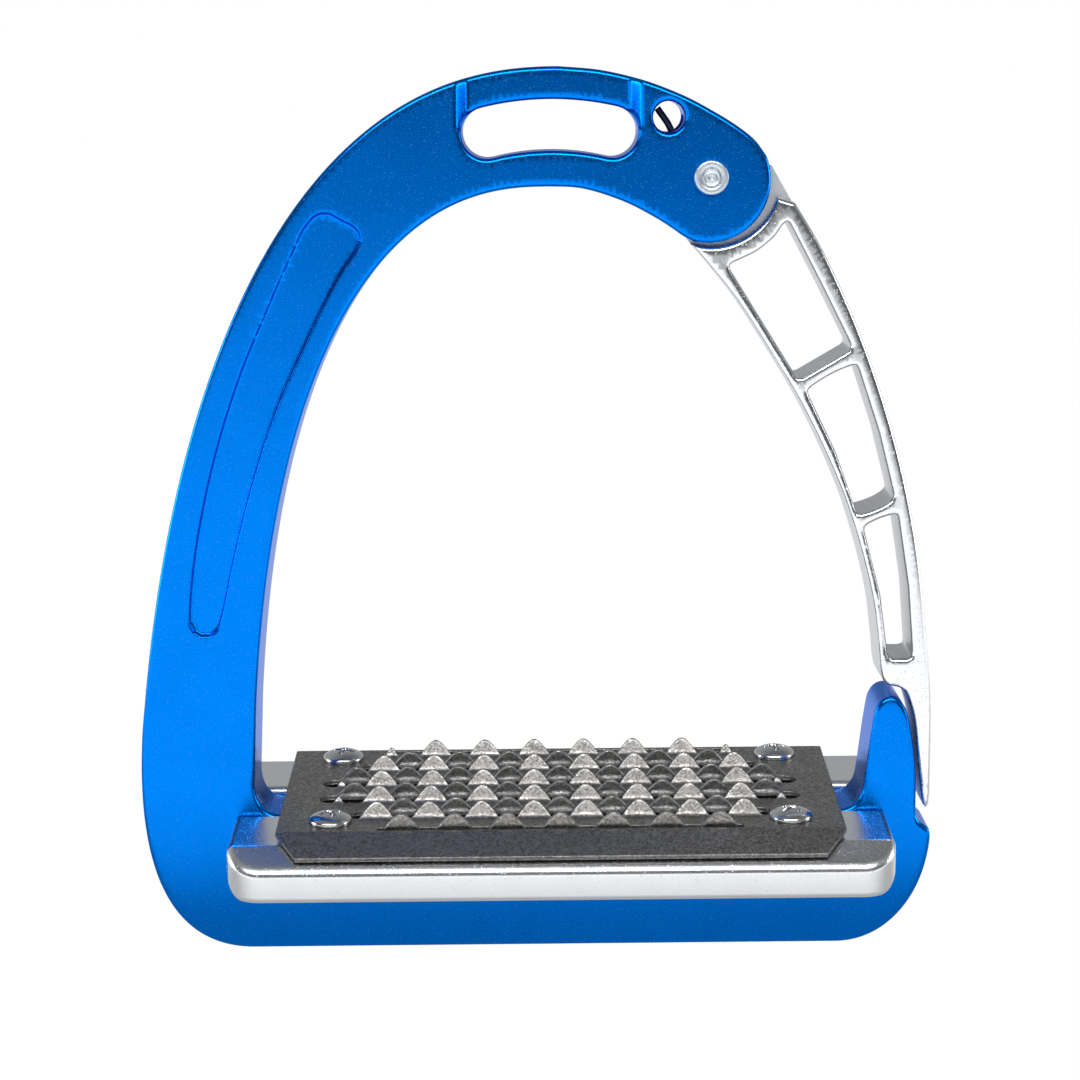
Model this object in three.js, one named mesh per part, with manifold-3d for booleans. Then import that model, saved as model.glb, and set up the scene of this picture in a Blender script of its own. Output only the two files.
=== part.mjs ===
// Stirrup iron with an outer arm that swings open, in millimetres, +Z up.
// X runs across the foot (the opening arm is on the +X side), Y runs along the foot, and the front faces -Y.
// The origin is under the middle of the whole iron, on the surface that it stands on.
import * as THREE from 'three';
import { mergeVertices } from 'three/addons/utils/BufferGeometryUtils.js';
import Module from 'manifold-3d';

// --- driving dimensions -------------------------------------------------------------------------

const FRAME_DEPTH = 15.5;                 // thickness of the frame along Y
const ARM_DEPTH = 15;                     // thickness of the opening arm
const EDGE_ROLL = 0.8;                    // rolled edge round the frame
const PIVOT = { x: 33, z: 144.1 };        // hinge axis of the arm, parallel to Y
const EAR_RADIUS = 11.4;                  // rounded end of the frame round the hinge
const SHOULDER_RADIUS = 12.7;             // hollow end of the arm that follows the ear
const FORK_WIDTH = 9;                     // slot between the two cheeks of the ear
const TONGUE_WIDTH = 7.6;                 // arm tongue between the cheeks
const TONGUE_RADIUS = 9.6;
const SWING_REACH = 26;                   // the slot is open this far from the hinge axis
const SPRING_POCKET_RADIUS = 5.9;         // recess in the tongue that holds the spring coil
const SPRING_POCKET_FLOOR = 0.95;         // its floor, measured from the middle plane
const SIGHT_HOLE = { x: 25.34, z: 155.05, r: 2.85 };
const SPRING_CHANNEL = { x: 24.6, z: 155.6, r: 3 };

const BAR_RECESS = { left: -13.4, right: 20.6, slope: 2.3, depth: 2.5, foot: 153.2 };
const SIDE_POCKET_DEPTH = 0.7;            // long shallow pocket in both faces of the fixed side

const BAR_TOP = 25.8;                     // top of the frame's base bar at its two ends
const BAR_SEAT = 20;                      // lowered middle of the base bar, under the footbed
const SEAT_LEFT = -46.7;
const SEAT_RIGHT = 55.7;

const TREAD_X = 4.5;                      // middle of the footbed across the foot
const TREAD_Z = 26.6;                     // height of the footbed's top plane over the bar
const TREAD_TILT = THREE.MathUtils.degToRad(4.2);   // the rear edge is higher
const FOOTBED_LENGTH = 122;
const FOOTBED_FRONT = -31.6;              // front and rear edges, before the tilt
const FOOTBED_REAR = 30.8;
const FOOTBED_HEIGHT = 9.2;
const FOOTBED_BEVEL = { run: 6, drop: 3 };
const FOOTBED_CORNER = 7;                 // its corners seen from above
const FOOTBED_END_RADIUS = 4;             // its lower ends seen from the front
const FOOTBED_CHAMFER = 1;                // its lower front and rear edges
const PAD_HEIGHT = 0.9;                   // raised pad of the footbed under the tread plate
const PAD_INSET = { x: 1.2, y: 0.8 };     // the pad's edges inside the plate's flat top
const GAP = 0.3;                          // clearance between faces that rest on each other
const SLIP = 0.1;                         // clearance round a turning or a passing shank
const OVERCUT = 5;                        // a cutting solid runs this far past the face that it cuts
const FAR = 90;                           // a cut that clears everything on one side reaches this far

const SHEET = 1;                          // thickness of the tread plate
const PLATE_LENGTH = 104.2;
const PLATE_HALF_DEPTH = 24.7;
const SKIRT = { run: 5.9, drop: 3.1, taper: 4 };
const TOOTH_PITCH = { x: 9.7, y: 9.4 };
const FRONT_TOOTH = { width: 5.8, height: 2.8 };
const REAR_TOOTH = { width: 6.6, height: 3 };
const TOOTH_TIP = 0.7;                    // half the width of a tooth's tip
const TOOTH_THICKNESS = 0.9;
const FIRST_CREASE = 20.2;                // the rearmost row that faces the front stands here
const REAR_STEP = 5;                      // each row that faces the rear stands this far in front of it
const REAR_OPENING = { half: 34.8, near: 21.1, far: 23.7 };     // behind the rearmost row
const FRONT_OPENING = { half: 33, near: -24, far: -23.2 };      // before the foremost row

const RIVET = { shank: 2.1, head: 3.15, rise: 1.2, crown: 2.3, dish: 1.5, dishFloor: 1.1, dishDepth: 0.35,
  edge: 0.5 };
const BUSH = { outer: 3.4, inner: 2.16 };
const WASHER = { outer: 7.8, inner: 2.3, thick: 0.5 };
const SPRING = { radius: 4.45, wire: 0.65, turns: 2.25, pitch: 1.4, front: -2.9, startAngle: 205, tail: 4.4 };
const TREAD_SCREW = { x: 42.4, y: 19, head: 3.95, rise: 1.9, shank: 2, hole: 2.3, length: 9 };
const CROSS_RECESS = { reach: 2, halfWidth: 0.4, floor: 0.9 };
const BASE_SCREW = { x: 30, head: 4.2, headHeight: 4, shank: 2.4, hole: 2.7, pocket: 4.6, tip: 25.2,
  socket: 2.3, socketDepth: 2.4 };
const SCREW_CHAMFER = 0.5;

// --- solids: joining and cutting ----------------------------------------------------------------

const wasm = await Module();
wasm.setup();

/** Turns a closed geometry into a solid that can be joined and cut. */
function solid(geometry) {
  const bare = geometry.clone();
  bare.deleteAttribute('normal');
  bare.deleteAttribute('uv');
  const merged = mergeVertices(bare, 1e-4);
  return new wasm.Manifold(new wasm.Mesh({
    numProp: 3,
    vertProperties: Float32Array.from(merged.attributes.position.array),
    triVerts: Uint32Array.from(merged.index.array),
  }));
}

/** Turns a solid back into a geometry. */
function geometryOf(body) {
  const mesh = body.getMesh();
  const geometry = new THREE.BufferGeometry();
  geometry.setAttribute('position', new THREE.BufferAttribute(Float32Array.from(mesh.vertProperties), 3));
  geometry.setIndex(new THREE.BufferAttribute(Uint32Array.from(mesh.triVerts), 1));
  return geometry;
}

/** The points of an outline, none closer together than the spacing, running one way round. */
function spacedPoints(points, spacing, clockwise) {
  const kept = [];
  for (const point of points) {
    if (kept.length === 0 || kept.at(-1).distanceTo(point) > spacing) kept.push(point);
  }
  while (kept.at(-1).distanceTo(kept[0]) < spacing) kept.pop();
  return THREE.ShapeUtils.isClockWise(kept) === clockwise ? kept : kept.reverse();
}

/** The same outline and holes with evenly spaced points, ready for rolled edges. */
function evened(shape, curveSegments, spacing) {
  const { shape: outline, holes } = shape.extractPoints(curveSegments);
  const even = new THREE.Shape(spacedPoints(outline, spacing, false));
  even.holes = holes.map((hole) => new THREE.Path(spacedPoints(hole, spacing, true)));
  return even;
}

/** A plate whose outline lies in X and Z, between two values of Y, with optional rolled edges. */
function plate(shape, yFront, yRear, roll = 0, spacing = 0.3) {
  const depth = yRear - yFront;
  const geometry = new THREE.ExtrudeGeometry(evened(shape, 8, spacing), {
    depth: depth - 2 * roll,
    bevelEnabled: roll > 0,
    bevelThickness: roll,
    bevelSize: roll,
    bevelOffset: -roll,
    bevelSegments: 2,
  });
  geometry.translate(0, 0, roll - depth);
  geometry.rotateX(Math.PI / 2);
  geometry.translate(0, yFront, 0);
  return solid(geometry);
}

/** A prism with its outline in X and Y, between two heights. */
function prism(shape, zLow, zHigh, curveSegments = 8) {
  const geometry = new THREE.ExtrudeGeometry(shape, {
    depth: zHigh - zLow, curveSegments, bevelEnabled: false,
  });
  geometry.translate(0, 0, zLow);
  return solid(geometry);
}

/** A bar with its section in Y and Z, running along X. */
function barAlongX(section, xLow, xHigh) {
  const geometry = new THREE.ExtrudeGeometry(section, { depth: xHigh - xLow, bevelEnabled: false });
  geometry.rotateX(Math.PI / 2);
  geometry.rotateZ(Math.PI / 2);
  geometry.translate(xLow, 0, 0);
  return solid(geometry);
}

function block(x0, x1, y0, y1, z0, z1) {
  const geometry = new THREE.BoxGeometry(x1 - x0, y1 - y0, z1 - z0);
  geometry.translate((x0 + x1) / 2, (y0 + y1) / 2, (z0 + z1) / 2);
  return solid(geometry);
}

/** A turned piece: radius and height pairs, starting and ending on the axis, turned about Z. */
function turned(profile, segments = 28) {
  const points = profile.map(([radius, height]) => new THREE.Vector2(radius, height));
  return new THREE.LatheGeometry(points, segments).rotateX(Math.PI / 2);
}

function polygon(points) {
  return new THREE.Shape(points.map(([a, b]) => new THREE.Vector2(a, b)));
}

function circle(x, y, radius) {
  return new THREE.Shape().absarc(x, y, radius, 0, 2 * Math.PI, false);
}

/** A point at a distance and an angle in degrees from the hinge axis. */
function aroundPivot(radius, degrees) {
  const angle = THREE.MathUtils.degToRad(degrees);
  return [PIVOT.x + radius * Math.cos(angle), PIVOT.z + radius * Math.sin(angle)];
}

/** Points on a superellipse arc; the angles are in degrees. */
function superArc(cx, cz, a, b, exponent, from, to, count) {
  const power = (value) => Math.sign(value) * Math.abs(value) ** (2 / exponent);
  return Array.from({ length: count + 1 }, (_, i) => {
    const angle = THREE.MathUtils.degToRad(from + (to - from) * i / count);
    return [cx + a * power(Math.cos(angle)), cz + b * power(Math.sin(angle))];
  });
}

/** Adds straight steps through the points to a path. */
function stepThrough(path, points) {
  points.forEach(([x, z]) => path.lineTo(x, z));
}

/** Adds a smooth curve through the points to a path. */
function curveThrough(path, points) {
  path.splineThru(points.map(([x, z]) => new THREE.Vector2(x, z)));
}

/** A closed outline through corner points, each corner rounded. */
function roundedShape(corners, radius) {
  const points = corners.map(([x, z]) => new THREE.Vector2(x, z));
  const shape = new THREE.Shape();
  points.forEach((corner, i) => {
    const before = points[(i + points.length - 1) % points.length];
    const after = points[(i + 1) % points.length];
    const start = corner.clone().add(before.clone().sub(corner).setLength(radius));
    const end = corner.clone().add(after.clone().sub(corner).setLength(radius));
    if (i === 0) shape.moveTo(start.x, start.y);
    else shape.lineTo(start.x, start.y);
    shape.quadraticCurveTo(corner.x, corner.y, end.x, end.y);
  });
  return shape;
}

/** Tilts a solid about X as the tread is tilted and moves it to its place over the bar. */
function onTread(body) {
  return body.rotate([THREE.MathUtils.radToDeg(TREAD_TILT), 0, 0]).translate([TREAD_X, 0, TREAD_Z]);
}

// --- frame --------------------------------------------------------------------------------------

function frameOutline() {
  const shape = new THREE.Shape();
  shape.moveTo(-53.5, 0);
  shape.lineTo(56.5, 0);
  shape.bezierCurveTo(66.5, 0, 73.6, 9.5, 74.2, 20.6);
  shape.quadraticCurveTo(74.3, 21.9, 73.3, 22.4);
  shape.quadraticCurveTo(71.6, 23.2, 71.5, 25);
  curveThrough(shape, [[71.3, 34], [70.2, 42], [69.1, 45.5], [67.2, 47.3], [65.2, 46.9], [63.8, 45],
    [63.1, 41.5], [62.3, 36], [61.6, 30.6]]);
  shape.quadraticCurveTo(61, 26, 57, BAR_TOP);
  stepThrough(shape, [[SEAT_RIGHT, BAR_TOP], [SEAT_RIGHT, BAR_SEAT], [SEAT_LEFT, BAR_SEAT],
    [SEAT_LEFT, BAR_TOP], [-48.3, BAR_TOP]]);
  shape.quadraticCurveTo(-52.6, 26, -52.9, 31.5);
  stepThrough(shape, superArc(2.8, 16.5, 55.8, 126.2, 2.36, 170, 90, 26));
  curveThrough(shape, [[9.5, 142.3], [17, 139.9], [23.3, 136.6], [27.9, 133.5]]);
  shape.absarc(32.5, 143.6, EAR_RADIUS, -1.95, 0.38, false);
  curveThrough(shape, [[40.9, 150.8], [37.5, 153.5], [33.1, 156.2], [28, 158.9], [20.8, 161.7],
    [13, 163.6], [5.2, 164.35]]);
  stepThrough(shape, superArc(5.2, -10.8, 81.1, 175.15, 2.31, 91.5, 166, 34));
  shape.bezierCurveTo(-75.4, 18, -71, 0, -53.5, 0);
  shape.holes.push(leatherSlot(), circle(SIGHT_HOLE.x, SIGHT_HOLE.z, SIGHT_HOLE.r));
  return shape;
}

/** The slot for the stirrup leather: a band that follows an arc, with round ends. */
function leatherSlot() {
  const centre = { x: 3.7, z: 104.9 };
  const radius = 48.9;
  const halfWidth = 4.62;
  const halfAngle = 0.236;
  const endAt = (side) => [centre.x + side * radius * Math.sin(halfAngle),
    centre.z + radius * Math.cos(halfAngle)];
  const up = Math.PI / 2;
  const path = new THREE.Path();
  path.absarc(centre.x, centre.z, radius + halfWidth, up + halfAngle, up - halfAngle, true);
  path.absarc(...endAt(1), halfWidth, up - halfAngle, -up - halfAngle, true);
  path.absarc(centre.x, centre.z, radius - halfWidth, up - halfAngle, up + halfAngle, false);
  path.absarc(...endAt(-1), halfWidth, halfAngle - up, halfAngle - 3 * up, true);
  return path;
}

/** The bar that carries the leather is thinner than the frame: one cut on each face. */
function barRecess(side) {
  const face = side * FRAME_DEPTH / 2;
  const { left, right, slope, depth, foot } = BAR_RECESS;
  const floor = face - side * depth;
  const section = polygon([[left + slope, floor], [right - slope, floor], [right, face], [right, face + side],
    [left, face + side], [left, face]]);
  return prism(section, foot, foot + FAR);
}

/** The long shallow pocket in the front and rear of the fixed side. */
function sidePocket(side) {
  const outline = new THREE.Shape();
  outline.moveTo(-41.8, 135);
  curveThrough(outline, [[-39.5, 137.8], [-37, 138.5], [-34.4, 137.2], [-31.6, 135.5], [-31, 132.8],
    [-35.4, 126], [-40.6, 116], [-47.1, 102], [-52, 87.8], [-55.7, 74], [-57.7, 65.2], [-59.2, 61],
    [-61.6, 60], [-63.8, 61.4], [-64.2, 65], [-62.7, 77], [-59.2, 92.4], [-54, 108.2], [-47.1, 123.9],
    [-41.8, 135]]);
  const face = side * FRAME_DEPTH / 2;
  const floor = face - side * SIDE_POCKET_DEPTH;
  return plate(outline, Math.min(face + side, floor), Math.max(face + side, floor), 0, 1.5);
}

/** The slot between the cheeks: room for the tongue, for its swing and for the spring's leg. */
function forkSlot() {
  const half = FORK_WIDTH / 2;
  const swing = new THREE.Shape();
  swing.moveTo(PIVOT.x, PIVOT.z);
  [-125, -90, -45, 0, 45, 91].forEach((angle) => swing.lineTo(...aroundPivot(SWING_REACH, angle)));
  const dx = SPRING_CHANNEL.x - PIVOT.x;
  const dz = SPRING_CHANNEL.z - PIVOT.z;
  const reach = Math.hypot(dx, dz);
  const nx = -dz / reach * SPRING_CHANNEL.r;
  const nz = dx / reach * SPRING_CHANNEL.r;
  const channel = polygon([[PIVOT.x + nx, PIVOT.z + nz], [SPRING_CHANNEL.x + nx, SPRING_CHANNEL.z + nz],
    [SPRING_CHANNEL.x - nx, SPRING_CHANNEL.z - nz], [PIVOT.x - nx, PIVOT.z - nz]]);
  return plate(circle(PIVOT.x, PIVOT.z, TONGUE_RADIUS + 0.8), -half, half)
    .add(plate(swing, -half, half))
    .add(plate(channel, -half, half))
    .add(plate(circle(SPRING_CHANNEL.x, SPRING_CHANNEL.z, SPRING_CHANNEL.r), -half, half));
}

function frame() {
  const half = FRAME_DEPTH / 2;
  let body = plate(frameOutline(), -half, half, EDGE_ROLL, 0.9);
  body = body.subtract(barRecess(-1)).subtract(barRecess(1));
  body = body.subtract(sidePocket(-1)).subtract(sidePocket(1));
  body = body.subtract(forkSlot());
  body = body.subtract(plate(circle(PIVOT.x, PIVOT.z, RIVET.shank + SLIP), -half - OVERCUT, half + OVERCUT));
  for (const side of [-1, 1]) {
    const x = TREAD_X + side * BASE_SCREW.x;
    body = body.subtract(prism(circle(x, 0, BASE_SCREW.hole), -OVERCUT, BAR_SEAT + OVERCUT));
    body = body.subtract(prism(circle(x, 0, BASE_SCREW.head + GAP), -OVERCUT, BASE_SCREW.pocket));
  }
  return geometryOf(body);
}

// --- opening arm --------------------------------------------------------------------------------

function armOutline() {
  const shape = new THREE.Shape();
  const start = THREE.MathUtils.degToRad(-106.5);
  const end = THREE.MathUtils.degToRad(-17.5);
  shape.absarc(PIVOT.x, PIVOT.z, SHOULDER_RADIUS, start, end, false);
  shape.lineTo(48.35, 139.3);
  curveThrough(shape, [[54.3, 128.9], [61.5, 112.4], [67.4, 93.9], [71.3, 75.2], [73.4, 56.2],
    [74.1, 46.5], [74.2, 37], [74.1, 29]]);
  curveThrough(shape, [[73.8, 26.4], [73.1, 25.9], [72.7, 27]]);
  curveThrough(shape, [[72.3, 30], [71.8, 35], [71.1, 42], [70.2, 45.8], [69.2, 48.2], [67.8, 49.1],
    [66.3, 49.4], [65.1, 50.4], [64.5, 52.8]]);
  curveThrough(shape, [[64, 58.2], [63, 65.8], [60.7, 75.3], [57.7, 84.7], [53.75, 94], [49.1, 103.3],
    [43, 113.5], [37.6, 121.8], [33.1, 127.5]]);
  shape.holes.push(...armWindows());
  return shape;
}

/** Three tapered windows; the upper one follows the shoulder. */
function armWindows() {
  const shoulderBand = 3.25;
  const along = [-72, -58, -44].map((angle) => aroundPivot(SHOULDER_RADIUS + shoulderBand, angle));
  const upper = roundedShape([[36, 128.2], ...along, [46.9, 136.4], [53, 124.6], [58.9, 112.7], [49, 107]], 1.1);
  const middle = roundedShape([[50.5, 105.1], [59.7, 109.9], [63.9, 97], [66.9, 84.7], [60.1, 81.7],
    [56, 93.6]], 1.1);
  const lower = roundedShape([[61.2, 79.6], [67.5, 82], [69.6, 67.8], [70.5, 54.6], [66, 54.6],
    [64.5, 66.6]], 1);
  return [upper, middle, lower];
}

/** The tongue that enters the fork, with the open recess for the spring. */
function tongue() {
  const half = TONGUE_WIDTH / 2;
  const root = polygon([[28.1, 133.7], [29.9, 131.2], [33.5, 130.2], [40, 132], [45, 136.5], [48, 139.4],
    [44.3, 146]]);
  const eye = plate(circle(PIVOT.x, PIVOT.z, TONGUE_RADIUS), -half, half)
    .add(plate(root, -half, half));
  const mouthReach = TONGUE_RADIUS + OVERCUT;
  const mouthEdge = [32, 90, 160].map((angle) => aroundPivot(mouthReach, angle));
  const recess = plate(circle(PIVOT.x, PIVOT.z, SPRING_POCKET_RADIUS), -half - OVERCUT, SPRING_POCKET_FLOOR)
    .add(plate(polygon([[PIVOT.x, PIVOT.z], ...mouthEdge]), -half - OVERCUT, SPRING_POCKET_FLOOR));
  const legNotch = plate(polygon([[34, 138.8], [40.4, 140.9], [40.4, 143.7], [34, 143]]),
    -half - OVERCUT, SPRING_POCKET_FLOOR);
  return eye.subtract(recess).subtract(legNotch);
}

function releaseArm() {
  const half = ARM_DEPTH / 2;
  const bore = plate(circle(PIVOT.x, PIVOT.z, BUSH.outer + SLIP), -half - OVERCUT, half + OVERCUT);
  return geometryOf(plate(armOutline(), -half, half, 0, 0.7).add(tongue()).subtract(bore));
}

// --- hinge pieces -------------------------------------------------------------------------------

/** Places a piece that was turned about Z on the hinge axis. */
function onHinge(geometry, y = 0) {
  geometry.rotateX(Math.PI / 2);
  geometry.translate(PIVOT.x, y, PIVOT.z);
  return geometry;
}

function pivotRivet() {
  const { shank, head, rise, crown, dish, dishFloor, dishDepth, edge } = RIVET;
  const face = FRAME_DEPTH / 2 + SLIP / 2;
  const top = face + rise;
  const floor = top - dishDepth;
  return onHinge(turned([[0, -floor], [dishFloor, -floor], [dish, -top], [crown, -top], [head, edge - top],
    [head, -face], [shank, -face], [shank, face], [head, face], [head, top - edge], [crown, top], [dish, top],
    [dishFloor, floor], [0, floor]]));
}

function ring(inner, outer, yFront, yRear) {
  const shape = circle(0, 0, outer);
  shape.holes.push(new THREE.Path().absarc(0, 0, inner, 0, 2 * Math.PI, true));
  const body = plate(shape, yFront, yRear);
  return geometryOf(body.translate([PIVOT.x, 0, PIVOT.z]));
}

/** The closing spring: turns round the bush, one leg up to the channel and one down into the tongue. */
class SpringPath extends THREE.Curve {
  getPoint(t, target = new THREE.Vector3()) {
    const { turns, pitch, front, startAngle, tail } = SPRING;
    const first = THREE.MathUtils.degToRad(startAngle);
    const sweep = turns * 2 * Math.PI;
    const legShare = 0.16;
    if (t < legShare) {
      const leg = new THREE.CatmullRomCurve3([
        new THREE.Vector3(23.4, front, 156.6), new THREE.Vector3(25.3, front, 153.9),
        new THREE.Vector3(27.3, front, 149.3), new THREE.Vector3(...this.coilPoint(first, 0)),
      ]);
      return target.copy(leg.getPoint(t / legShare));
    }
    if (t > 1 - legShare / 2) {
      const last = this.coilPoint(first + sweep, turns * pitch);
      const share = (t - 1 + legShare / 2) / (legShare / 2);
      const direction = first + sweep + Math.PI / 2;
      return target.set(last[0] + tail * share * Math.cos(direction), last[1],
        last[2] + tail * share * Math.sin(direction));
    }
    const share = (t - legShare) / (1 - 1.5 * legShare);
    return target.set(...this.coilPoint(first + sweep * share, turns * pitch * share));
  }

  coilPoint(angle, rise) {
    const { radius, front } = SPRING;
    return [PIVOT.x + radius * Math.cos(angle), front + rise, PIVOT.z + radius * Math.sin(angle)];
  }
}

function closingSpring() {
  const geometry = new THREE.ExtrudeGeometry(circle(0, 0, SPRING.wire), {
    extrudePath: new SpringPath(), steps: 96, curveSegments: 4, bevelEnabled: false,
  });
  return geometryOf(solid(geometry));
}

// --- footbed and tread --------------------------------------------------------------------------

/** The footbed from the front: its lower ends are round. */
function footbedElevation() {
  const inner = FOOTBED_LENGTH / 2 - FOOTBED_END_RADIUS;
  const centre = FOOTBED_END_RADIUS - FOOTBED_HEIGHT;
  const shape = new THREE.Shape();
  shape.moveTo(-FOOTBED_LENGTH / 2, OVERCUT);
  shape.absarc(-inner, centre, FOOTBED_END_RADIUS, Math.PI, 1.5 * Math.PI, false);
  shape.absarc(inner, centre, FOOTBED_END_RADIUS, -0.5 * Math.PI, 0, false);
  shape.lineTo(FOOTBED_LENGTH / 2, OVERCUT);
  return shape;
}

function footbed() {
  const halfLength = FOOTBED_LENGTH / 2;
  const { run, drop } = FOOTBED_BEVEL;
  const low = -FOOTBED_HEIGHT;
  const front = FOOTBED_FRONT;
  const rear = FOOTBED_REAR;
  const chamfer = FOOTBED_CHAMFER;
  const section = polygon([[front, -drop], [front + run, 0], [rear - run, 0], [rear, -drop], [rear, low + chamfer],
    [rear - chamfer, low], [front + chamfer, low], [front, low + chamfer]]);
  const plan = roundedShape([[-halfLength, front], [halfLength, front], [halfLength, rear], [-halfLength, rear]],
    FOOTBED_CORNER);
  const padX = PLATE_LENGTH / 2 - PAD_INSET.x;
  const padY = PLATE_HALF_DEPTH - PAD_INSET.y;
  let body = barAlongX(section, -halfLength, halfLength).intersect(prism(plan, low - OVERCUT, OVERCUT));
  body = body.intersect(plate(footbedElevation(), front - OVERCUT, rear + OVERCUT));
  body = body.add(block(-padX, padX, -padY, padY, -1, PAD_HEIGHT));
  for (const [x, y] of screwPlaces()) {
    body = body.subtract(prism(circle(x, y, TREAD_SCREW.hole), low - OVERCUT, OVERCUT));
  }
  body = onTread(body);
  const side = FRAME_DEPTH / 2 + GAP;
  body = body.subtract(block(-FAR, FAR, -side, side, -FAR, BAR_SEAT + GAP));
  body = body.subtract(block(-FAR, SEAT_LEFT + GAP, -side, side, -FAR, FAR));
  body = body.subtract(block(SEAT_RIGHT - GAP, FAR, -side, side, -FAR, FAR));
  for (const end of [-1, 1]) {
    const hole = prism(circle(TREAD_X + end * BASE_SCREW.x, 0, BASE_SCREW.hole), 0, BASE_SCREW.tip + 0.8);
    body = body.subtract(hole);
  }
  return geometryOf(body);
}

function screwPlaces() {
  const { x, y } = TREAD_SCREW;
  return [[-x, -y], [x, -y], [-x, y], [x, y]];
}

/** Where every tooth stands: rows that face the front, and rows between them that face the rear. */
function toothPlaces() {
  const places = [];
  const add = (facing, row, y, columns) => {
    for (const column of columns) places.push({ facing, x: column * TOOTH_PITCH.x, y, row });
  };
  const halves = (count) => Array.from({ length: count }, (_, i) => i - (count - 1) / 2);
  for (let row = 0; row < 5; row += 1) {
    const y = FIRST_CREASE - row * TOOTH_PITCH.y;
    add('front', row, y, halves(row === 0 ? 6 : 8));
    add('rear', row, y - REAR_STEP, halves(row === 1 || row === 2 ? 9 : 7));
  }
  return places;
}

/** One raised tooth, standing on the crease that joins it to the sheet. */
function tooth({ facing, x, y }, bottom) {
  const { width, height } = facing === 'front' ? FRONT_TOOTH : REAR_TOOTH;
  const top = bottom + SHEET + height;
  const shape = polygon([[x - width / 2, bottom], [x + width / 2, bottom], [x + width / 2, bottom + SHEET],
    [x + TOOTH_TIP, top], [x - TOOTH_TIP, top], [x - width / 2, bottom + SHEET]]);
  return facing === 'front' ? plate(shape, y, y + TOOTH_THICKNESS) : plate(shape, y - TOOTH_THICKNESS, y);
}

/** The opening that a tooth was folded up from. */
function toothOpening({ facing, x, y }) {
  const { width, height } = facing === 'front' ? FRONT_TOOTH : REAR_TOOTH;
  const way = facing === 'front' ? 1 : -1;
  const wide = width / 2 - 0.3;
  const narrow = TOOTH_TIP + 0.1;
  const near = y + way * TOOTH_THICKNESS;
  const far = near + way * (height - 0.6);
  const outline = polygon([[x - wide, near], [x + wide, near], [x + narrow, far], [x - narrow, far]]);
  return prism(outline, -OVERCUT, OVERCUT);
}

function treadPlate() {
  const low = PAD_HEIGHT + GAP;
  const high = low + SHEET;
  const half = PLATE_HALF_DEPTH;
  const { run, drop, taper } = SKIRT;
  const section = polygon([[-half - run, high - drop], [-half, high], [half, high], [half + run, high - drop],
    [half + run - 0.5, high - drop - SHEET], [half - 0.3, low], [-half + 0.3, low],
    [-half - run + 0.5, high - drop - SHEET]]);
  const end = PLATE_LENGTH / 2;
  const plan = polygon([[-end, -half], [-end + taper, -half - run], [end - taper, -half - run], [end, -half],
    [end, half], [end - taper, half + run], [-end + taper, half + run], [-end, half]]);
  let body = barAlongX(section, -end, end).intersect(prism(plan, -2 * OVERCUT, OVERCUT));
  const places = toothPlaces();
  const openings = places.filter(({ facing, row }) => !(facing === 'front' && row === 0))
    .filter(({ facing, row }) => !(facing === 'rear' && row === 4)).map(toothOpening);
  for (const { half: reach, near, far } of [REAR_OPENING, FRONT_OPENING]) {
    openings.push(block(-reach, reach, near, far, -OVERCUT, OVERCUT));
  }
  for (const [x, y] of screwPlaces()) openings.push(prism(circle(x, y, TREAD_SCREW.hole), -OVERCUT, OVERCUT));
  body = openings.reduce((sheet, opening) => sheet.subtract(opening), body);
  body = places.reduce((sheet, place) => sheet.add(tooth(place, low)), body);
  return geometryOf(onTread(body));
}

/** A domed screw with a cross recess, held in the footbed. */
function treadScrew(x, y) {
  const seat = PAD_HEIGHT + GAP + SHEET + SLIP;
  const { head, rise, shank, length } = TREAD_SCREW;
  const tip = seat - length;
  const profile = [[0, tip], [shank - SCREW_CHAMFER, tip], [shank, tip + SCREW_CHAMFER], [shank, seat],
    [head, seat], [head, seat + rise * 0.18], [head * 0.8, seat + rise * 0.68], [head * 0.45, seat + rise * 0.94],
    [0, seat + rise]];
  const { reach, halfWidth } = CROSS_RECESS;
  const floor = seat + CROSS_RECESS.floor;
  const recess = block(-reach, reach, -halfWidth, halfWidth, floor, seat + OVERCUT)
    .add(block(-halfWidth, halfWidth, -reach, reach, floor, seat + OVERCUT));
  const body = solid(turned(profile, 24)).subtract(recess);
  return geometryOf(onTread(body.translate([x, y, 0])));
}

/** A socket-head screw from below, through the base bar into the footbed. */
function baseScrew(x) {
  const { head, headHeight, shank, pocket, tip, socket, socketDepth } = BASE_SCREW;
  const seat = pocket - SLIP;
  const bottom = seat - headHeight;
  const profile = [[0, bottom], [head - SCREW_CHAMFER, bottom], [head, bottom + SCREW_CHAMFER], [head, seat],
    [shank, seat], [shank, tip - SCREW_CHAMFER], [shank - SCREW_CHAMFER, tip], [0, tip]];
  const hexagon = prism(polygon(superArc(0, 0, socket, socket, 2, 0, 300, 5)), -OVERCUT, bottom + socketDepth);
  return geometryOf(solid(turned(profile, 24)).subtract(hexagon).translate([TREAD_X + x, 0, 0]));
}

// --- the object ---------------------------------------------------------------------------------

const finishes = {
  blueAnodised: { color: 0x0a62c8, roughness: 0.35, metalness: 0.85 },
  polishedAluminium: { color: 0xd6d9de, roughness: 0.22, metalness: 1 },
  satinAluminium: { color: 0xcdd2d8, roughness: 0.3, metalness: 1 },
  blastedSteel: { color: 0x77736c, roughness: 0.5, metalness: 1 },
  polishedSteel: { color: 0xb9bcc0, roughness: 0.15, metalness: 1 },
  rivetSteel: { color: 0xb4bcc6, roughness: 0.35, metalness: 1 },
  springSteel: { color: 0x26262a, roughness: 0.4, metalness: 1 },
  bronze: { color: 0xa67c45, roughness: 0.45, metalness: 1 },
  nylon: { color: 0xd9d7cf, roughness: 0.6, metalness: 0 },
};

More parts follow.
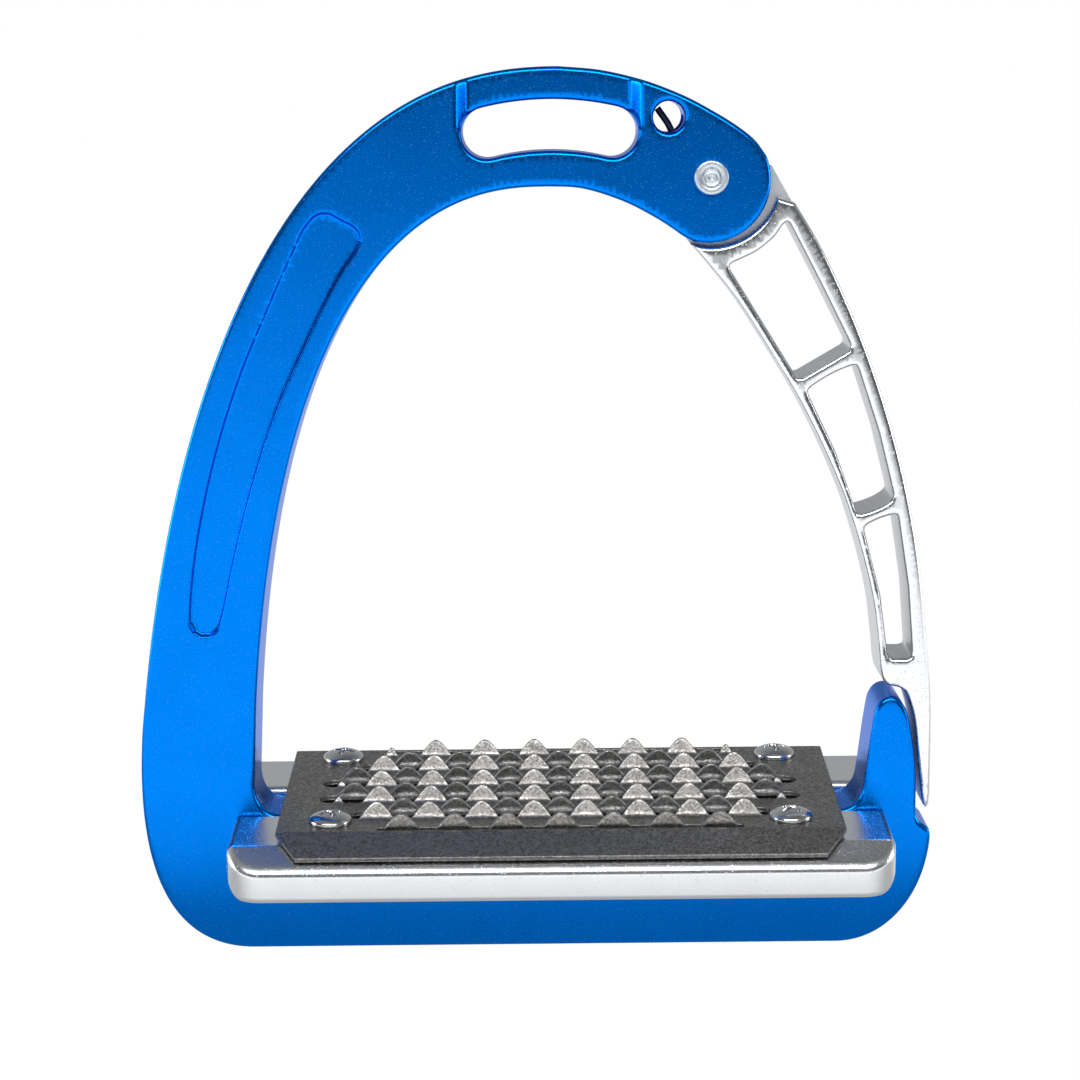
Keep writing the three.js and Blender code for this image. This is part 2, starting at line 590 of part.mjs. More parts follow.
const stirrup = new THREE.Group();

function put(name, geometry, finish) {
  const mesh = new THREE.Mesh(geometry, new THREE.MeshStandardMaterial(finishes[finish]));
  mesh.name = name;
  stirrup.add(mesh);
}

const tongueFace = TONGUE_WIDTH / 2;
put('frame', frame(), 'blueAnodised');
put('release_arm', releaseArm(), 'polishedAluminium');
put('pivot_rivet', pivotRivet(), 'rivetSteel');
put('pivot_bush', ring(BUSH.inner, BUSH.outer, -tongueFace, tongueFace), 'bronze');
const washerFace = tongueFace + SLIP;
put('thrust_washer_front', ring(WASHER.inner, WASHER.outer, -washerFace - WASHER.thick, -washerFace), 'nylon');
put('thrust_washer_rear', ring(WASHER.inner, WASHER.outer, washerFace, washerFace + WASHER.thick), 'nylon');
put('closing_spring', closingSpring(), 'springSteel');
put('footbed', footbed(), 'satinAluminium');
put('tread_plate', treadPlate(), 'blastedSteel');
screwPlaces().forEach(([x, y], i) => put(`tread_screw_${i + 1}`, treadScrew(x, y), 'polishedSteel'));
[-1, 1].forEach((side, i) => put(`base_screw_${i + 1}`, baseScrew(side * BASE_SCREW.x), 'polishedSteel'));

export default stirrup;
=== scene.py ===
"""The looks of a stirrup iron with a sprung opening arm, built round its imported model, in metres, +Z up.

X runs across the foot, with the opening arm on the +X side, Y runs along the foot, and the front faces -Y.
"""

import math

import bmesh
import bpy
import numpy as np
from mathutils import Matrix, Vector
from mathutils.geometry import delaunay_2d_cdt


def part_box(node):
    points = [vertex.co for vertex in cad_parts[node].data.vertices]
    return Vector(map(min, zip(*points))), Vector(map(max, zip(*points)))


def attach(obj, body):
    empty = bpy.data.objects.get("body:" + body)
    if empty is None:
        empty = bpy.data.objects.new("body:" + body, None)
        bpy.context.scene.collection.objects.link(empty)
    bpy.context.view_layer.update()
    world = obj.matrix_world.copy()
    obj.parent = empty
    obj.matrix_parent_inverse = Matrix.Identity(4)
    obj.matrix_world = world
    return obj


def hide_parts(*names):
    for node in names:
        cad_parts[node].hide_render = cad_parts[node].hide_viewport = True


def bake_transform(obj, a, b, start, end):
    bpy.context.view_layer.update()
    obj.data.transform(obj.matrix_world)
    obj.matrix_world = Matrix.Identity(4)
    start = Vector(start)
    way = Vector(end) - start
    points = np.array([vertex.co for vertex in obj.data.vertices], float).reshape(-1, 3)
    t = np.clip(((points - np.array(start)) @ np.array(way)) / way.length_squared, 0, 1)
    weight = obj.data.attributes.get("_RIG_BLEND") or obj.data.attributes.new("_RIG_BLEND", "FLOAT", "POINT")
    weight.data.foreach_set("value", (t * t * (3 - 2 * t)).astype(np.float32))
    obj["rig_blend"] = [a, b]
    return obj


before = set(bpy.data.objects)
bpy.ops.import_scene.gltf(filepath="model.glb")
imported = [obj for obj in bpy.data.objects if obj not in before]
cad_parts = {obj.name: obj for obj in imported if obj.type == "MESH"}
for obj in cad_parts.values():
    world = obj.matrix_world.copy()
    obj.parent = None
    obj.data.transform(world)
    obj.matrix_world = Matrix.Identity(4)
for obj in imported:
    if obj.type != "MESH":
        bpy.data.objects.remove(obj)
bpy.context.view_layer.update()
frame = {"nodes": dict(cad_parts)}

bl_info = {
    "name": "Stirrup Iron Looks",
    "version": (1, 0, 0),
    "blender": (4, 5, 0),
    "location": "3D View > Sidebar > Stirrup Iron",
    "description": "Builds the fine surfaces and finishes of a stirrup iron round its packed model",
    "category": "Add Mesh",
}

MM = 0.001
PIVOT = (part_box("pivot_rivet")[0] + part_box("pivot_rivet")[1]) / 2
TREAD_TILT = math.radians(4.2)
TREAD_ORIGIN = ((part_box("footbed")[0].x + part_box("footbed")[1].x) / 2, 0.0, 26.6 * MM)

PLATE_GRID = 1.3 * MM

# The tread's screws stand this far from its middle, across and along the foot.
SCREW_X, SCREW_Y = 42.4 * MM, 19 * MM

# How far the slots between the rows reach each way: inner rows, outer rows, rearmost and foremost slot.
INNER_SLOT, OUTER_SLOT, REAR_SLOT, FRONT_SLOT = 45.3 * MM, 39.2 * MM, 35 * MM, 33.6 * MM
REAR_SLOT_EDGE, FRONT_SLOT_EDGE = 23.7 * MM, -24.0 * MM

# Width and height of the teeth, and how far out the small ones stand.
FRONT_TOOTH, REAR_TOOTH = (7.2 * MM, 3.0 * MM), (7.4 * MM, 3.0 * MM)
REAR_SMALL_TOOTH, REAR_SMALL_X = (3.2 * MM, 1.7 * MM), 33 * MM
END_SMALL_TOOTH, END_SMALL_X = (2.4 * MM, 1.1 * MM), 41.6 * MM


# --- meshes ------------------------------------------------------------------------------------

def grid_faces(rows, columns, closed=False):
    """Quads over a grid of points kept row by row; a closed grid joins its last column to its first."""
    row, column = np.meshgrid(np.arange(rows - 1), np.arange(columns if closed else columns - 1), indexing="ij")
    after = (column + 1) % columns
    here, below = row * columns, (row + 1) * columns
    return np.stack([here + column, here + after, below + after, below + column], -1).reshape(-1, 4)


def joined(parts):
    """Several (points, faces) pairs as one pair, with the face numbers of each moved past those before it."""
    starts = np.cumsum([0] + [len(points) for points, _ in parts[:-1]])
    points = np.concatenate([points for points, _ in parts])
    return points, [tuple(face) for start, (_, faces) in zip(starts, parts)
                    for face in (faces + start).tolist()]


def on_tread(points):
    """Points of the level tread, turned about X by its tilt and moved to their place over the bar."""
    x, y, z = points.T
    cosine, sine = math.cos(TREAD_TILT), math.sin(TREAD_TILT)
    return np.stack([x, cosine * y - sine * z, sine * y + cosine * z], -1) + np.array(TREAD_ORIGIN)


def about_hinge(points):
    """Points turned about Z, laid along Y and moved to the hinge axis."""
    x, y, z = points.T
    return np.stack([x, -z, y], -1) + np.array([PIVOT.x, 0, PIVOT.z])


def turned(profile, segments):
    """Surface of revolution: each (radius, height) of the profile goes round Z at evenly spaced angles."""
    radius, height = np.array(profile, float).T
    angle = np.linspace(0, 2 * np.pi, segments, endpoint=False)
    points = np.stack([radius[:, None] * np.cos(angle), radius[:, None] * np.sin(angle),
                       np.broadcast_to(height[:, None], (len(radius), segments))], -1)
    return points.reshape(-1, 3), grid_faces(len(radius), segments, closed=True)


def piece(name, points, faces, material, smooth_angle=40.0, merge=1e-6, turn_out=True):
    """A mesh object at the origin with its doubles merged, its faces pointing out and its edges smoothed."""
    mesh = bpy.data.meshes.new(name)
    mesh.from_pydata([tuple(p) for p in points], [], [tuple(int(i) for i in face) for face in faces])
    made = bpy.data.objects.new(name, mesh)
    bpy.context.scene.collection.objects.link(made)
    clean(mesh, merge, turn_out=turn_out)
    smooth(mesh, smooth_angle)
    mesh.materials.append(material)
    return made


def clean(mesh, merge, flat_angle=None, turn_out=True):
    """Merges doubles, drops collapsed faces, and where asked joins flat neighbours and turns faces outwards."""
    work = bmesh.new()
    work.from_mesh(mesh)
    bmesh.ops.remove_doubles(work, verts=work.verts, dist=merge)
    bmesh.ops.dissolve_degenerate(work, edges=work.edges, dist=merge)
    if flat_angle is not None:
        bmesh.ops.dissolve_limit(work, angle_limit=flat_angle, verts=work.verts, edges=work.edges)
    if turn_out:
        bmesh.ops.recalc_face_normals(work, faces=work.faces)
    work.to_mesh(mesh)
    work.free()


def smooth(mesh, angle):
    """Smooth shading, with edges sharper than the angle kept crisp."""
    mesh.shade_smooth()
    mesh.set_sharp_from_angle(angle=math.radians(angle))


def worked_copy(node, name, material):
    """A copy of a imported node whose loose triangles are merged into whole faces, ready for rounded edges."""
    mesh = frame["nodes"][node].data.copy()
    mesh.name = name
    for attribute in [a.name for a in mesh.attributes if a.name == "custom_normal"]:
        mesh.attributes.remove(mesh.attributes[attribute])
    clean(mesh, 3e-6, flat_angle=math.radians(0.6))
    smooth(mesh, 35)
    mesh.materials.clear()
    mesh.materials.append(material)
    made = bpy.data.objects.new(name, mesh)
    bpy.context.scene.collection.objects.link(made)
    return made


def round_edges(made, width, angle, segments=3, profile=0.5):
    """Rounds the edges sharper than the angle and weighs the normals so that flat faces stay flat."""
    bevel = made.modifiers.new("Rounded edges", "BEVEL")
    bevel.width = width
    bevel.segments = segments
    bevel.profile = profile
    bevel.limit_method = "ANGLE"
    bevel.angle_limit = math.radians(angle)
    bevel.use_clamp_overlap = False
    bevel.miter_outer = "MITER_ARC"
    bevel.harden_normals = False
    weigh_normals(made)


def weigh_normals(made):
    weighted = made.modifiers.new("Flat faces", "WEIGHTED_NORMAL")
    weighted.mode = "FACE_AREA"
    weighted.weight = 80
    weighted.keep_sharp = True


def settle(made, body, slot, *nodes):
    """The piece rides on its body and stands for the nodes, which it hides; the slot is not used."""
    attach(made, body)
    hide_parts(*nodes)


# --- finishes ----------------------------------------------------------------------------------

class Value:
    """One socket of a finish; the usual signs add Math nodes."""

    def __init__(self, finish, socket):
        self.finish = finish
        self.socket = socket

    def math(self, operation, first, second=0.0):
        return self.finish.node("ShaderNodeMath", {"operation": operation}, {0: first, 1: second})

    def __add__(self, other):
        return self.math("ADD", self, other)

    def __sub__(self, other):
        return self.math("SUBTRACT", self, other)

    def __rsub__(self, other):
        return self.math("SUBTRACT", other, self)

    def __mul__(self, other):
        return self.math("MULTIPLY", self, other)

    def __abs__(self):
        return self.math("ABSOLUTE", self)

    __radd__ = __add__
    __rmul__ = __mul__


class Finish:
    """A procedural material whose patterns read Object coordinates."""

    def __init__(self, name, colour, metallic, roughness):
        self.material = bpy.data.materials.new(name)
        self.material.use_nodes = True
        self.material.diffuse_color = (*colour[:3], 1)
        self.tree = self.material.node_tree
        self.shader = self.tree.nodes["Principled BSDF"]
        self.shader.inputs["Base Color"].default_value = (*colour[:3], 1)
        self.shader.inputs["Metallic"].default_value = metallic
        self.shader.inputs["Roughness"].default_value = roughness
        self.place = self.node("ShaderNodeTexCoord", {}, {}, "Object")

    def node(self, kind, settings, sockets, output=0):
        """Adds a node: its settings first, then each socket gets a number, a colour or a link."""
        made = self.tree.nodes.new(kind)
        for setting, value in settings.items():
            setattr(made, setting, value)
        for socket, value in sockets.items():
            if isinstance(value, Value):
                self.tree.links.new(value.socket, made.inputs[socket])
            else:
                made.inputs[socket].default_value = value
        return Value(self, made.outputs[output])

    def split(self):
        """The X, Y and Z of the Object coordinates."""
        return [self.node("ShaderNodeSeparateXYZ", {}, {0: self.place}, axis) for axis in "XYZ"]

    def noise(self, size, detail=2.0, stretch=(1, 1, 1), roughness=0.5):
        """Cloudy noise from 0 to 1 whose lumps are about the given size across."""
        place = self.node("ShaderNodeMapping", {}, {0: self.place, "Scale": stretch})
        return self.node("ShaderNodeTexNoise", {}, {"Vector": place, "Scale": 1 / size, "Detail": detail,
                                                    "Roughness": roughness}, "Fac")

    def grains(self, size):
        """A random level for each grain of the given size."""
        colour = self.node("ShaderNodeTexVoronoi", {}, {"Vector": self.place, "Scale": 1 / size}, "Color")
        return self.node("ShaderNodeSeparateColor", {}, {0: colour}, 0)

    def step(self, value, low, high):
        """0 below low, 1 above high and a smooth rise between them."""
        return self.node("ShaderNodeMapRange", {"interpolation_type": "SMOOTHSTEP"},
                         {0: value, 1: low, 2: high, 3: 0.0, 4: 1.0})

    def mix(self, factor, first, second):
        """The first colour at factor 0 and the second at 1."""
        rgba = [(*c[:3], 1) if not isinstance(c, Value) else c for c in (first, second)]
        return self.node("ShaderNodeMix", {"data_type": "RGBA"}, {0: factor, 6: rgba[0], 7: rgba[1]}, 2)

    def bump(self, height, distance, strength=1.0, normal=None):
        sockets = {"Height": height, "Distance": distance, "Strength": strength}
        if normal is not None:
            sockets["Normal"] = normal
        return self.node("ShaderNodeBump", {}, sockets)

    def feed(self, **sockets):
        """Links values to the shader; the keys are socket names with _ for a space."""
        for name, value in sockets.items():
            self.tree.links.new(value.socket, self.shader.inputs[name.replace("_", " ")])
        return self.material


def blue_anodised(colours):
    """Satin blue anodising: bright flecks of the blasted grain, faint clouds and a fine uneven skin."""
    finish = Finish("blue_anodised", colours.frame, 1.0, 0.25)
    finish.shader.inputs["Specular Tint"].default_value = (0.6, 0.68, 0.9, 1.0)
    deep = [0.78 * c for c in colours.frame]
    flecks = finish.step(finish.grains(0.12 * MM), 0.965, 0.995)
    clouds = finish.noise(9 * MM, 3)
    colour = finish.mix(0.75 + 0.25 * finish.step(clouds, 0.3, 0.7), deep, colours.frame)
    colour = finish.mix(flecks * 0.2, colour, (0.25, 0.6, 1.0))
    rough = 0.2 + 0.08 * finish.noise(0.6 * MM, 2) + 0.2 * flecks
    skin = finish.bump(finish.noise(0.35 * MM, 2), 0.02 * MM, 0.2)
    return finish.feed(Base_Color=colour, Roughness=rough, Normal=skin)


def polished_aluminium(colours):
    """Tumbled aluminium: mirror-bright flats with fine pits, satin walls cut by the mill."""
    finish = Finish("polished_aluminium", colours.bare, 1.0, 0.15)
    across = finish.split()[1]
    wall = 1 - finish.step(abs(across), 6.7 * MM, 7.1 * MM)
    pits = finish.step(finish.grains(0.25 * MM), 0.93, 0.98)
    flat_rough = 0.17 + 0.05 * finish.noise(0.8 * MM, 2) + 0.25 * pits
    wall_rough = 0.34 + 0.1 * finish.noise(2 * MM, 2, (1, 6, 1))
    rough = flat_rough + wall * (wall_rough - flat_rough)
    colour = finish.mix(wall, colours.bare, [0.86 * c for c in colours.bare])
    skin = finish.bump(finish.noise(1.4 * MM, 2), 0.006 * MM, 0.2)
    return finish.feed(Base_Color=colour, Roughness=rough, Normal=skin)


def satin_aluminium(colours):
    """Cast and polished aluminium: soft long waves, fine grain and a few bright nicks."""
    finish = Finish("satin_aluminium", colours.bare, 1.0, 0.2)
    nicks = finish.step(finish.grains(0.3 * MM), 0.96, 0.99)
    rough = 0.2 + 0.1 * finish.noise(1.2 * MM, 3) + 0.15 * nicks
    colour = finish.mix(finish.noise(6 * MM, 3), [0.9 * c for c in colours.bare], colours.bare)
    skin = finish.bump(finish.noise(0.9 * MM, 2, (0.3, 1, 1)), 0.012 * MM, 0.3)
    return finish.feed(Base_Color=colour, Roughness=rough, Normal=skin)


def blasted_steel(name, sheet):
    """Blasted stainless sheet: a coarse sparkling grain over a warm grey."""
    finish = Finish(name, sheet, 1.0, 0.42)
    grain = finish.grains(0.34 * MM)
    sparkle = finish.step(grain, 0.75, 0.95)
    colour = finish.mix(grain, [0.55 * c for c in sheet], [1.45 * c for c in sheet])
    rough = 0.4 + 0.12 * finish.noise(0.5 * MM, 2) - 0.12 * sparkle
    skin = finish.bump(finish.noise(0.3 * MM, 2), 0.06 * MM, 0.5)
    return finish.feed(Base_Color=colour, Roughness=rough, Normal=skin)


def bright_steel(colours):
    """Polished screws with faint turning marks and small scuffs."""
    finish = Finish("bright_steel", colours.bright, 1.0, 0.12)
    rough = 0.1 + 0.15 * finish.noise(0.7 * MM, 3)
    skin = finish.bump(finish.noise(0.5 * MM, 3), 0.02 * MM, 0.3)
    return finish.feed(Roughness=rough, Normal=skin)


def zinc_plate(colours):
    """Zinc-plated rivet: pale, softly mottled by the peening."""
    finish = Finish("zinc_plate", colours.rivet, 1.0, 0.35)
    mottle = finish.noise(0.6 * MM, 4, roughness=0.65)
    colour = finish.mix(mottle, [0.75 * c for c in colours.rivet], [min(1, 1.15 * c) for c in colours.rivet])
    skin = finish.bump(mottle, 0.08 * MM, 0.6)
    return finish.feed(Base_Color=colour, Roughness=0.28 + 0.2 * mottle, Normal=skin)


def spring_wire(colours):
    """Oiled black spring wire with fine drawing lines."""
    finish = Finish("spring_wire", colours.wire, 1.0, 0.35)
    rough = 0.25 + 0.25 * finish.noise(0.4 * MM, 2)
    colour = finish.mix(finish.noise(0.8 * MM, 2), colours.wire, [2 * c for c in colours.wire])
    return finish.feed(Base_Color=colour, Roughness=rough)


def sintered_bronze(colours):
    """Oil-filled bronze with an open grain."""
    finish = Finish("sintered_bronze", colours.bronze, 1.0, 0.45)
    grain = finish.noise(0.3 * MM, 2)
    colour = finish.mix(grain, [0.7 * c for c in colours.bronze], colours.bronze)
    return finish.feed(Base_Color=colour, Normal=finish.bump(grain, 0.05 * MM, 0.5))


def pale_nylon(colours):
    """Moulded nylon with a soft uneven sheen."""
    finish = Finish("pale_nylon", colours.nylon, 0.0, 0.5)
    cloud = finish.noise(2 * MM, 2)
    colour = finish.mix(cloud, colours.nylon, [0.9 * c for c in colours.nylon])
    return finish.feed(Base_Color=colour, Roughness=0.45 + 0.15 * cloud)


# --- settings ----------------------------------------------------------------------------------

def length(name, description, millimetres):
    return bpy.props.FloatProperty(name=name, description=description, default=millimetres * MM,
                                   unit="LENGTH", subtype="DISTANCE")


def tint(name, description, colour):
    return bpy.props.FloatVectorProperty(name=name, description=description, default=colour,
                                         subtype="COLOR", size=3, min=0, max=1)


class IronSizes(bpy.types.PropertyGroup):
    frame_edge: length("Frame edge", "Rounding of the frame's edges", 0.9)
    fork_half: length("Fork half width", "Middle plane to each cheek of the hinge", 4.5)
    tongue_half: length("Tongue half width", "Middle plane to each side of the arm's tongue", 3.8)
    screw_pocket: length("Screw pocket", "Radius of the pockets for the screws from below", 4.5)
    screw_hole: length("Screw hole", "Radius of the holes for the screws from below", 2.7)
    bar_left: length("Leather bar left", "Where the left slope down to the thin bar starts", -13.4)
    bar_right: length("Leather bar right", "Where the right slope down to the thin bar starts", 20.6)
    bar_slope: length("Leather bar slope", "Width of those slopes", 2.3)
    bar_sunk: length("Leather bar depth", "How far the thin bar lies below each face", 2.5)
    bar_foot: length("Leather bar foot", "Height where the thin bar starts", 152.8)
    pocket_sunk: length("Side pocket depth", "Depth of the long pocket on each face", 0.7)
    arm_edge: length("Arm edge", "Rounding of the arm's edges", 0.85)
    footbed_edge: length("Footbed edge", "Rounding of the footbed's upper edges", 1.4)
    footbed_under: length("Footbed under edge", "Rounding of the footbed's lower edges", 1.2)
    footbed_end: length("Footbed end", "Rounding of its lower ends seen from the front", 3.2)
    bar_seat: length("Bar seat", "Height of the channel's roof over the floor", 20.3)
    footbed_length: length("Footbed length", "Footbed across the foot", 122.0)
    footbed_front: length("Footbed front", "Front edge from the middle, before the tilt", -31.6)
    footbed_rear: length("Footbed rear", "Rear edge from the middle, before the tilt", 30.8)
    footbed_height: length("Footbed height", "Thickness of the footbed's front and rear", 9.2)
    footbed_corner: length("Footbed corner", "Corner radius seen from above", 6.4)
    margin_run: length("Margin run", "Width of the sloped margins", 6.0)
    margin_drop: length("Margin drop", "Fall of the sloped margins", 3.0)
    pad_height: length("Pad height", "Raised pad under the tread sheet", 0.9)
    seat_left: length("Seat left", "Left end of the bar's seat", -46.4)
    seat_right: length("Seat right", "Right end of the bar's seat", 55.4)
    sheet: length("Sheet", "Thickness of the tread's steel sheet", 1.0)
    sheet_edge: length("Sheet edge", "Rounding of the sheet's cut edges", 0.22)
    plate_top: length("Plate top", "Height of the tread sheet's top over the footbed", 2.2)
    plate_length: length("Plate length", "Tread sheet across the foot", 104.2)
    plate_half_depth: length("Plate half depth", "Middle of the sheet to the bend of its skirt", 24.7)
    skirt_run: length("Skirt run", "How far each skirt reaches out", 5.9)
    skirt_drop: length("Skirt drop", "How far each skirt comes down", 3.1)
    skirt_taper: length("Skirt taper", "How much the skirt is cut back at each end", 4.0)
    pitch_x: length("Tooth pitch across", "Spacing of the teeth in a row", 9.7)
    pitch_y: length("Row pitch", "Spacing of the rows", 9.4)
    first_crease: length("First crease", "Rearmost fold line, from the middle of the tread", 20.2)
    strip: length("Strip", "Flat strip between the two fold lines of a row", 5.0)
    fold: length("Fold", "Inner radius where a tooth is folded up", 0.8)
    spring_radius: length("Spring radius", "Middle of the spring's wire to the hinge axis", 4.45)
    spring_wire: length("Spring wire", "Half the thickness of the spring's wire", 0.62)
    spring_pitch: length("Spring pitch", "How far the spring advances in one turn", 1.4)


class IronColours(bpy.types.PropertyGroup):
    frame: tint("Frame blue", "Anodised frame", (0.0, 0.2, 0.82))
    bare: tint("Bare aluminium", "Arm and footbed", (0.82, 0.84, 0.87))
    sheet: tint("Tread steel", "Blasted sheet of the tread", (0.23, 0.225, 0.215))
    worn: tint("Tooth steel", "Teeth brightened by boots", (0.36, 0.35, 0.335))
    bright: tint("Screw steel", "Polished screws", (0.62, 0.62, 0.63))
    rivet: tint("Rivet zinc", "Plated rivet", (0.66, 0.72, 0.78))
    wire: tint("Spring wire", "Oiled wire", (0.03, 0.03, 0.035))
    bronze: tint("Bronze", "Hinge bush", (0.55, 0.36, 0.16))
    nylon: tint("Nylon", "Thrust washers", (0.72, 0.71, 0.66))


# --- shapes ------------------------------------------------------------------------------------

def merged_node(node):
    """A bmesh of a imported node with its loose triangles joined."""
    work = bmesh.new()
    work.from_mesh(frame["nodes"][node].data)
    bmesh.ops.remove_doubles(work, verts=work.verts, dist=3e-6)
    return work


def section_outlines(node, level):
    """The closed outlines, in x and z, where the plane y = level cuts a node; the largest comes first.

    Each runs with the material on its left: the largest one way round and the others the other way.
    """
    work = merged_node(node)
    everything = [*work.verts, *work.edges, *work.faces]
    cut = bmesh.ops.bisect_plane(work, geom=everything, dist=1e-7, plane_co=(0, level, 0), plane_no=(0, 1, 0))
    partners = {}
    for edge in (g for g in cut["geom_cut"] if isinstance(g, bmesh.types.BMEdge)):
        for one, other in (edge.verts, reversed(edge.verts)):
            partners.setdefault(one, []).append(other)
    loops = []
    while partners:
        here = next(iter(partners))
        loop = []
        while here in partners:
            loop.append((here.co.x, here.co.z))
            onward = partners.pop(here)
            here = next((v for v in onward if v in partners), None)
        loops.append(np.array(loop))
    work.free()
    loops.sort(key=lambda loop: -abs(signed_area(loop)))
    return [loop if (signed_area(loop) > 0) == (i == 0) else loop[::-1] for i, loop in enumerate(loops)]


def signed_area(loop):
    x, z = loop.T
    return 0.5 * float(np.sum(x * np.roll(z, -1) - np.roll(x, -1) * z))


def curved(loop, spacing, corner=28.0, straight=9 * MM):
    """A smooth closed curve through the points of an outline, evenly stepped.

    Between two points it is a Hermite curve whose directions are the mean of the sides that meet there;
    it stays sharp at corners and straight along long sides. Points in the middle of a straight side go first.
    """
    loop = loop[np.linalg.norm(np.roll(loop, -1, axis=0) - loop, axis=1) > 2e-6]
    heading, size = headings(loop)
    turn = np.einsum("ij,ij->i", heading, np.roll(heading, 1, axis=0))
    loop = loop[turn < math.cos(math.radians(0.3))]
    heading, size = headings(loop)
    after = np.roll(loop, -1, axis=0)
    before = np.roll(heading, 1, axis=0)
    mean = heading + before
    mean /= np.linalg.norm(mean, axis=1)[:, None]
    sharp = np.einsum("ij,ij->i", heading, before) < math.cos(math.radians(corner))
    long_side = size > straight
    eased = np.where(np.roll(long_side, 1)[:, None], before, mean)
    leave = np.where((sharp | long_side)[:, None], heading, eased)
    arrive_at = np.where((sharp | np.roll(long_side, 1))[:, None], before,
                         np.where(long_side[:, None], heading, mean))
    arrive = np.roll(arrive_at, -1, axis=0)
    steps = np.maximum(1, np.round(size / np.where(long_side, 1.0 * MM, spacing))).astype(int)
    which = np.repeat(np.arange(len(loop)), steps)
    u = (np.arange(len(which)) - np.repeat(np.cumsum(steps) - steps, steps)) / steps[which]
    u = u[:, None]
    length = size[which][:, None]
    points = ((2 * u ** 3 - 3 * u ** 2 + 1) * loop[which] + (u ** 3 - 2 * u ** 2 + u) * length * leave[which]
              + (3 * u ** 2 - 2 * u ** 3) * after[which] + (u ** 3 - u ** 2) * length * arrive[which])
    return np.clip(points, loop.min(0), loop.max(0))


def headings(loop):
    """The direction and the length of each side of a closed outline."""
    side = np.roll(loop, -1, axis=0) - loop
    size = np.linalg.norm(side, axis=1)
    return side / size[:, None], size


def distance_to(points, loops):
    """Distance from each point to the nearest side of the closed outlines."""
    start = np.concatenate(loops)
    end = np.concatenate([np.roll(loop, -1, axis=0) for loop in loops])
    side = end - start
    size = np.maximum((side ** 2).sum(1), 1e-18)
    found = []
    for block in np.array_split(points, max(1, len(points) // 400)):
        reach = block[:, None, :] - start[None]
        share = np.clip((reach * side).sum(-1) / size, 0, 1)
        found.append(np.sqrt(((reach - share[..., None] * side) ** 2).sum(-1).min(1)))
    return np.concatenate(found)


def inward(loop, distance):
    """The points of an outline moved into the material, square to it."""
    along = np.roll(loop, -1, axis=0) - np.roll(loop, 1, axis=0)
    along /= np.maximum(np.linalg.norm(along, axis=1), 1e-12)[:, None]
    return loop + distance * np.stack([-along[:, 1], along[:, 0]], -1)


def rolled(distance, radius):
    """How far a quarter-round edge lies below the face, from the distance to the outline."""
    short = np.clip(radius - distance, 0, radius)
    return radius - np.sqrt(radius ** 2 - short ** 2)


def soft_ramp(value, soft=0.16):
    """Rises straight from 0 at 0 to 1 at 1, with a rounded start and end."""
    start = np.clip(value + soft, 0, 2 * soft) ** 2 / (4 * soft)
    end = np.clip(1 + soft - value, 0, 2 * soft) ** 2 / (4 * soft)
    return np.where(value < soft, start, np.where(value > 1 - soft, 1 - end, value))


def rolled_plate(loops, top, bottom, top_roll, bottom_roll, gap=None, extra=()):
    """A plate with rolled edges over outlines in u and v: both faces, and the walls round its outlines.

    Each face lies where its function of u and v says, less a quarter-round fall near the outlines. Each wall
    runs from face to face, apart from the gap that the gap function leaves about w = 0.
    """
    bend = 1 - np.cos(np.radians([18, 36, 54, 72, 90]))
    rings = np.unique(np.round(np.concatenate([top_roll * bend, bottom_roll * bend]), 7))
    free = [inward(loop, d) for loop in loops for d in rings]
    wanted = np.repeat(np.tile(rings, len(loops)), [len(points) for points in free])
    free = np.concatenate(free)
    free = free[distance_to(free, loops) > wanted - 0.02 * MM]
    steps = [np.arange(start, end, PLATE_GRID) for start, end in zip(loops[0].min(0), loops[0].max(0))]
    inner = np.stack(np.meshgrid(*steps), -1).reshape(-1, 2)
    inner = inner[inside_all(inner, loops)]
    free = np.concatenate([free, inner[distance_to(inner, loops) > rings[-1] + 0.3 * MM]])
    for points in extra:
        points = points[inside_all(points, loops)]
        free = np.concatenate([free, points[distance_to(points, loops) > 0.04 * MM]])
    flat, triangles = flat_sheet(loops[0], loops[1:], free)
    corners = flat[triangles]
    area = np.cross(corners[:, 1] - corners[:, 0], corners[:, 2] - corners[:, 0])
    triangles = np.where((area > 0)[:, None], triangles, triangles[:, ::-1])
    edge = distance_to(flat, loops)
    upper = np.column_stack([flat, top(flat) - rolled(edge, top_roll)])
    lower = np.column_stack([flat, bottom(flat) + rolled(edge, bottom_roll)])
    parts = [(upper, triangles), (lower, triangles[:, ::-1])]
    for loop in loops:
        high, low = top(loop) - top_roll, bottom(loop) + bottom_roll
        walls = [(high, low)]
        if gap is not None:
            open_half = gap(loop)
            walls = [(high, np.minimum(open_half, high)), (np.maximum(-open_half, low), low)]
        for first, last in walls:
            wall = np.stack([np.column_stack([loop, first]), np.column_stack([loop, last])])
            parts.append((wall.reshape(-1, 3), grid_faces(2, len(loop), closed=True)[:, ::-1]))
    return joined(parts)


def stood_up(points):
    """A plate's u, v and w as x, z and the way to the front."""
    u, v, w = points.T
    return np.stack([u, -w, v], -1)


def inside_all(points, loops):
    """Whether each point is inside the first outline and outside the others."""
    kept = inside(points, loops[0])
    for hole in loops[1:]:
        kept &= ~inside(points, hole)
    return kept


def core_of(node, reach):
    """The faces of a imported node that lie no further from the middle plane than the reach."""
    work = merged_node(node)
    outer = [face for face in work.faces if any(abs(v.co.y) > reach + 1e-6 for v in face.verts)]
    bmesh.ops.delete(work, geom=outer, context="FACES")
    work.verts.index_update()
    points = np.array([tuple(v.co) for v in work.verts])
    faces = np.array([[v.index for v in face.verts] for face in work.faces])
    work.free()
    return points, faces


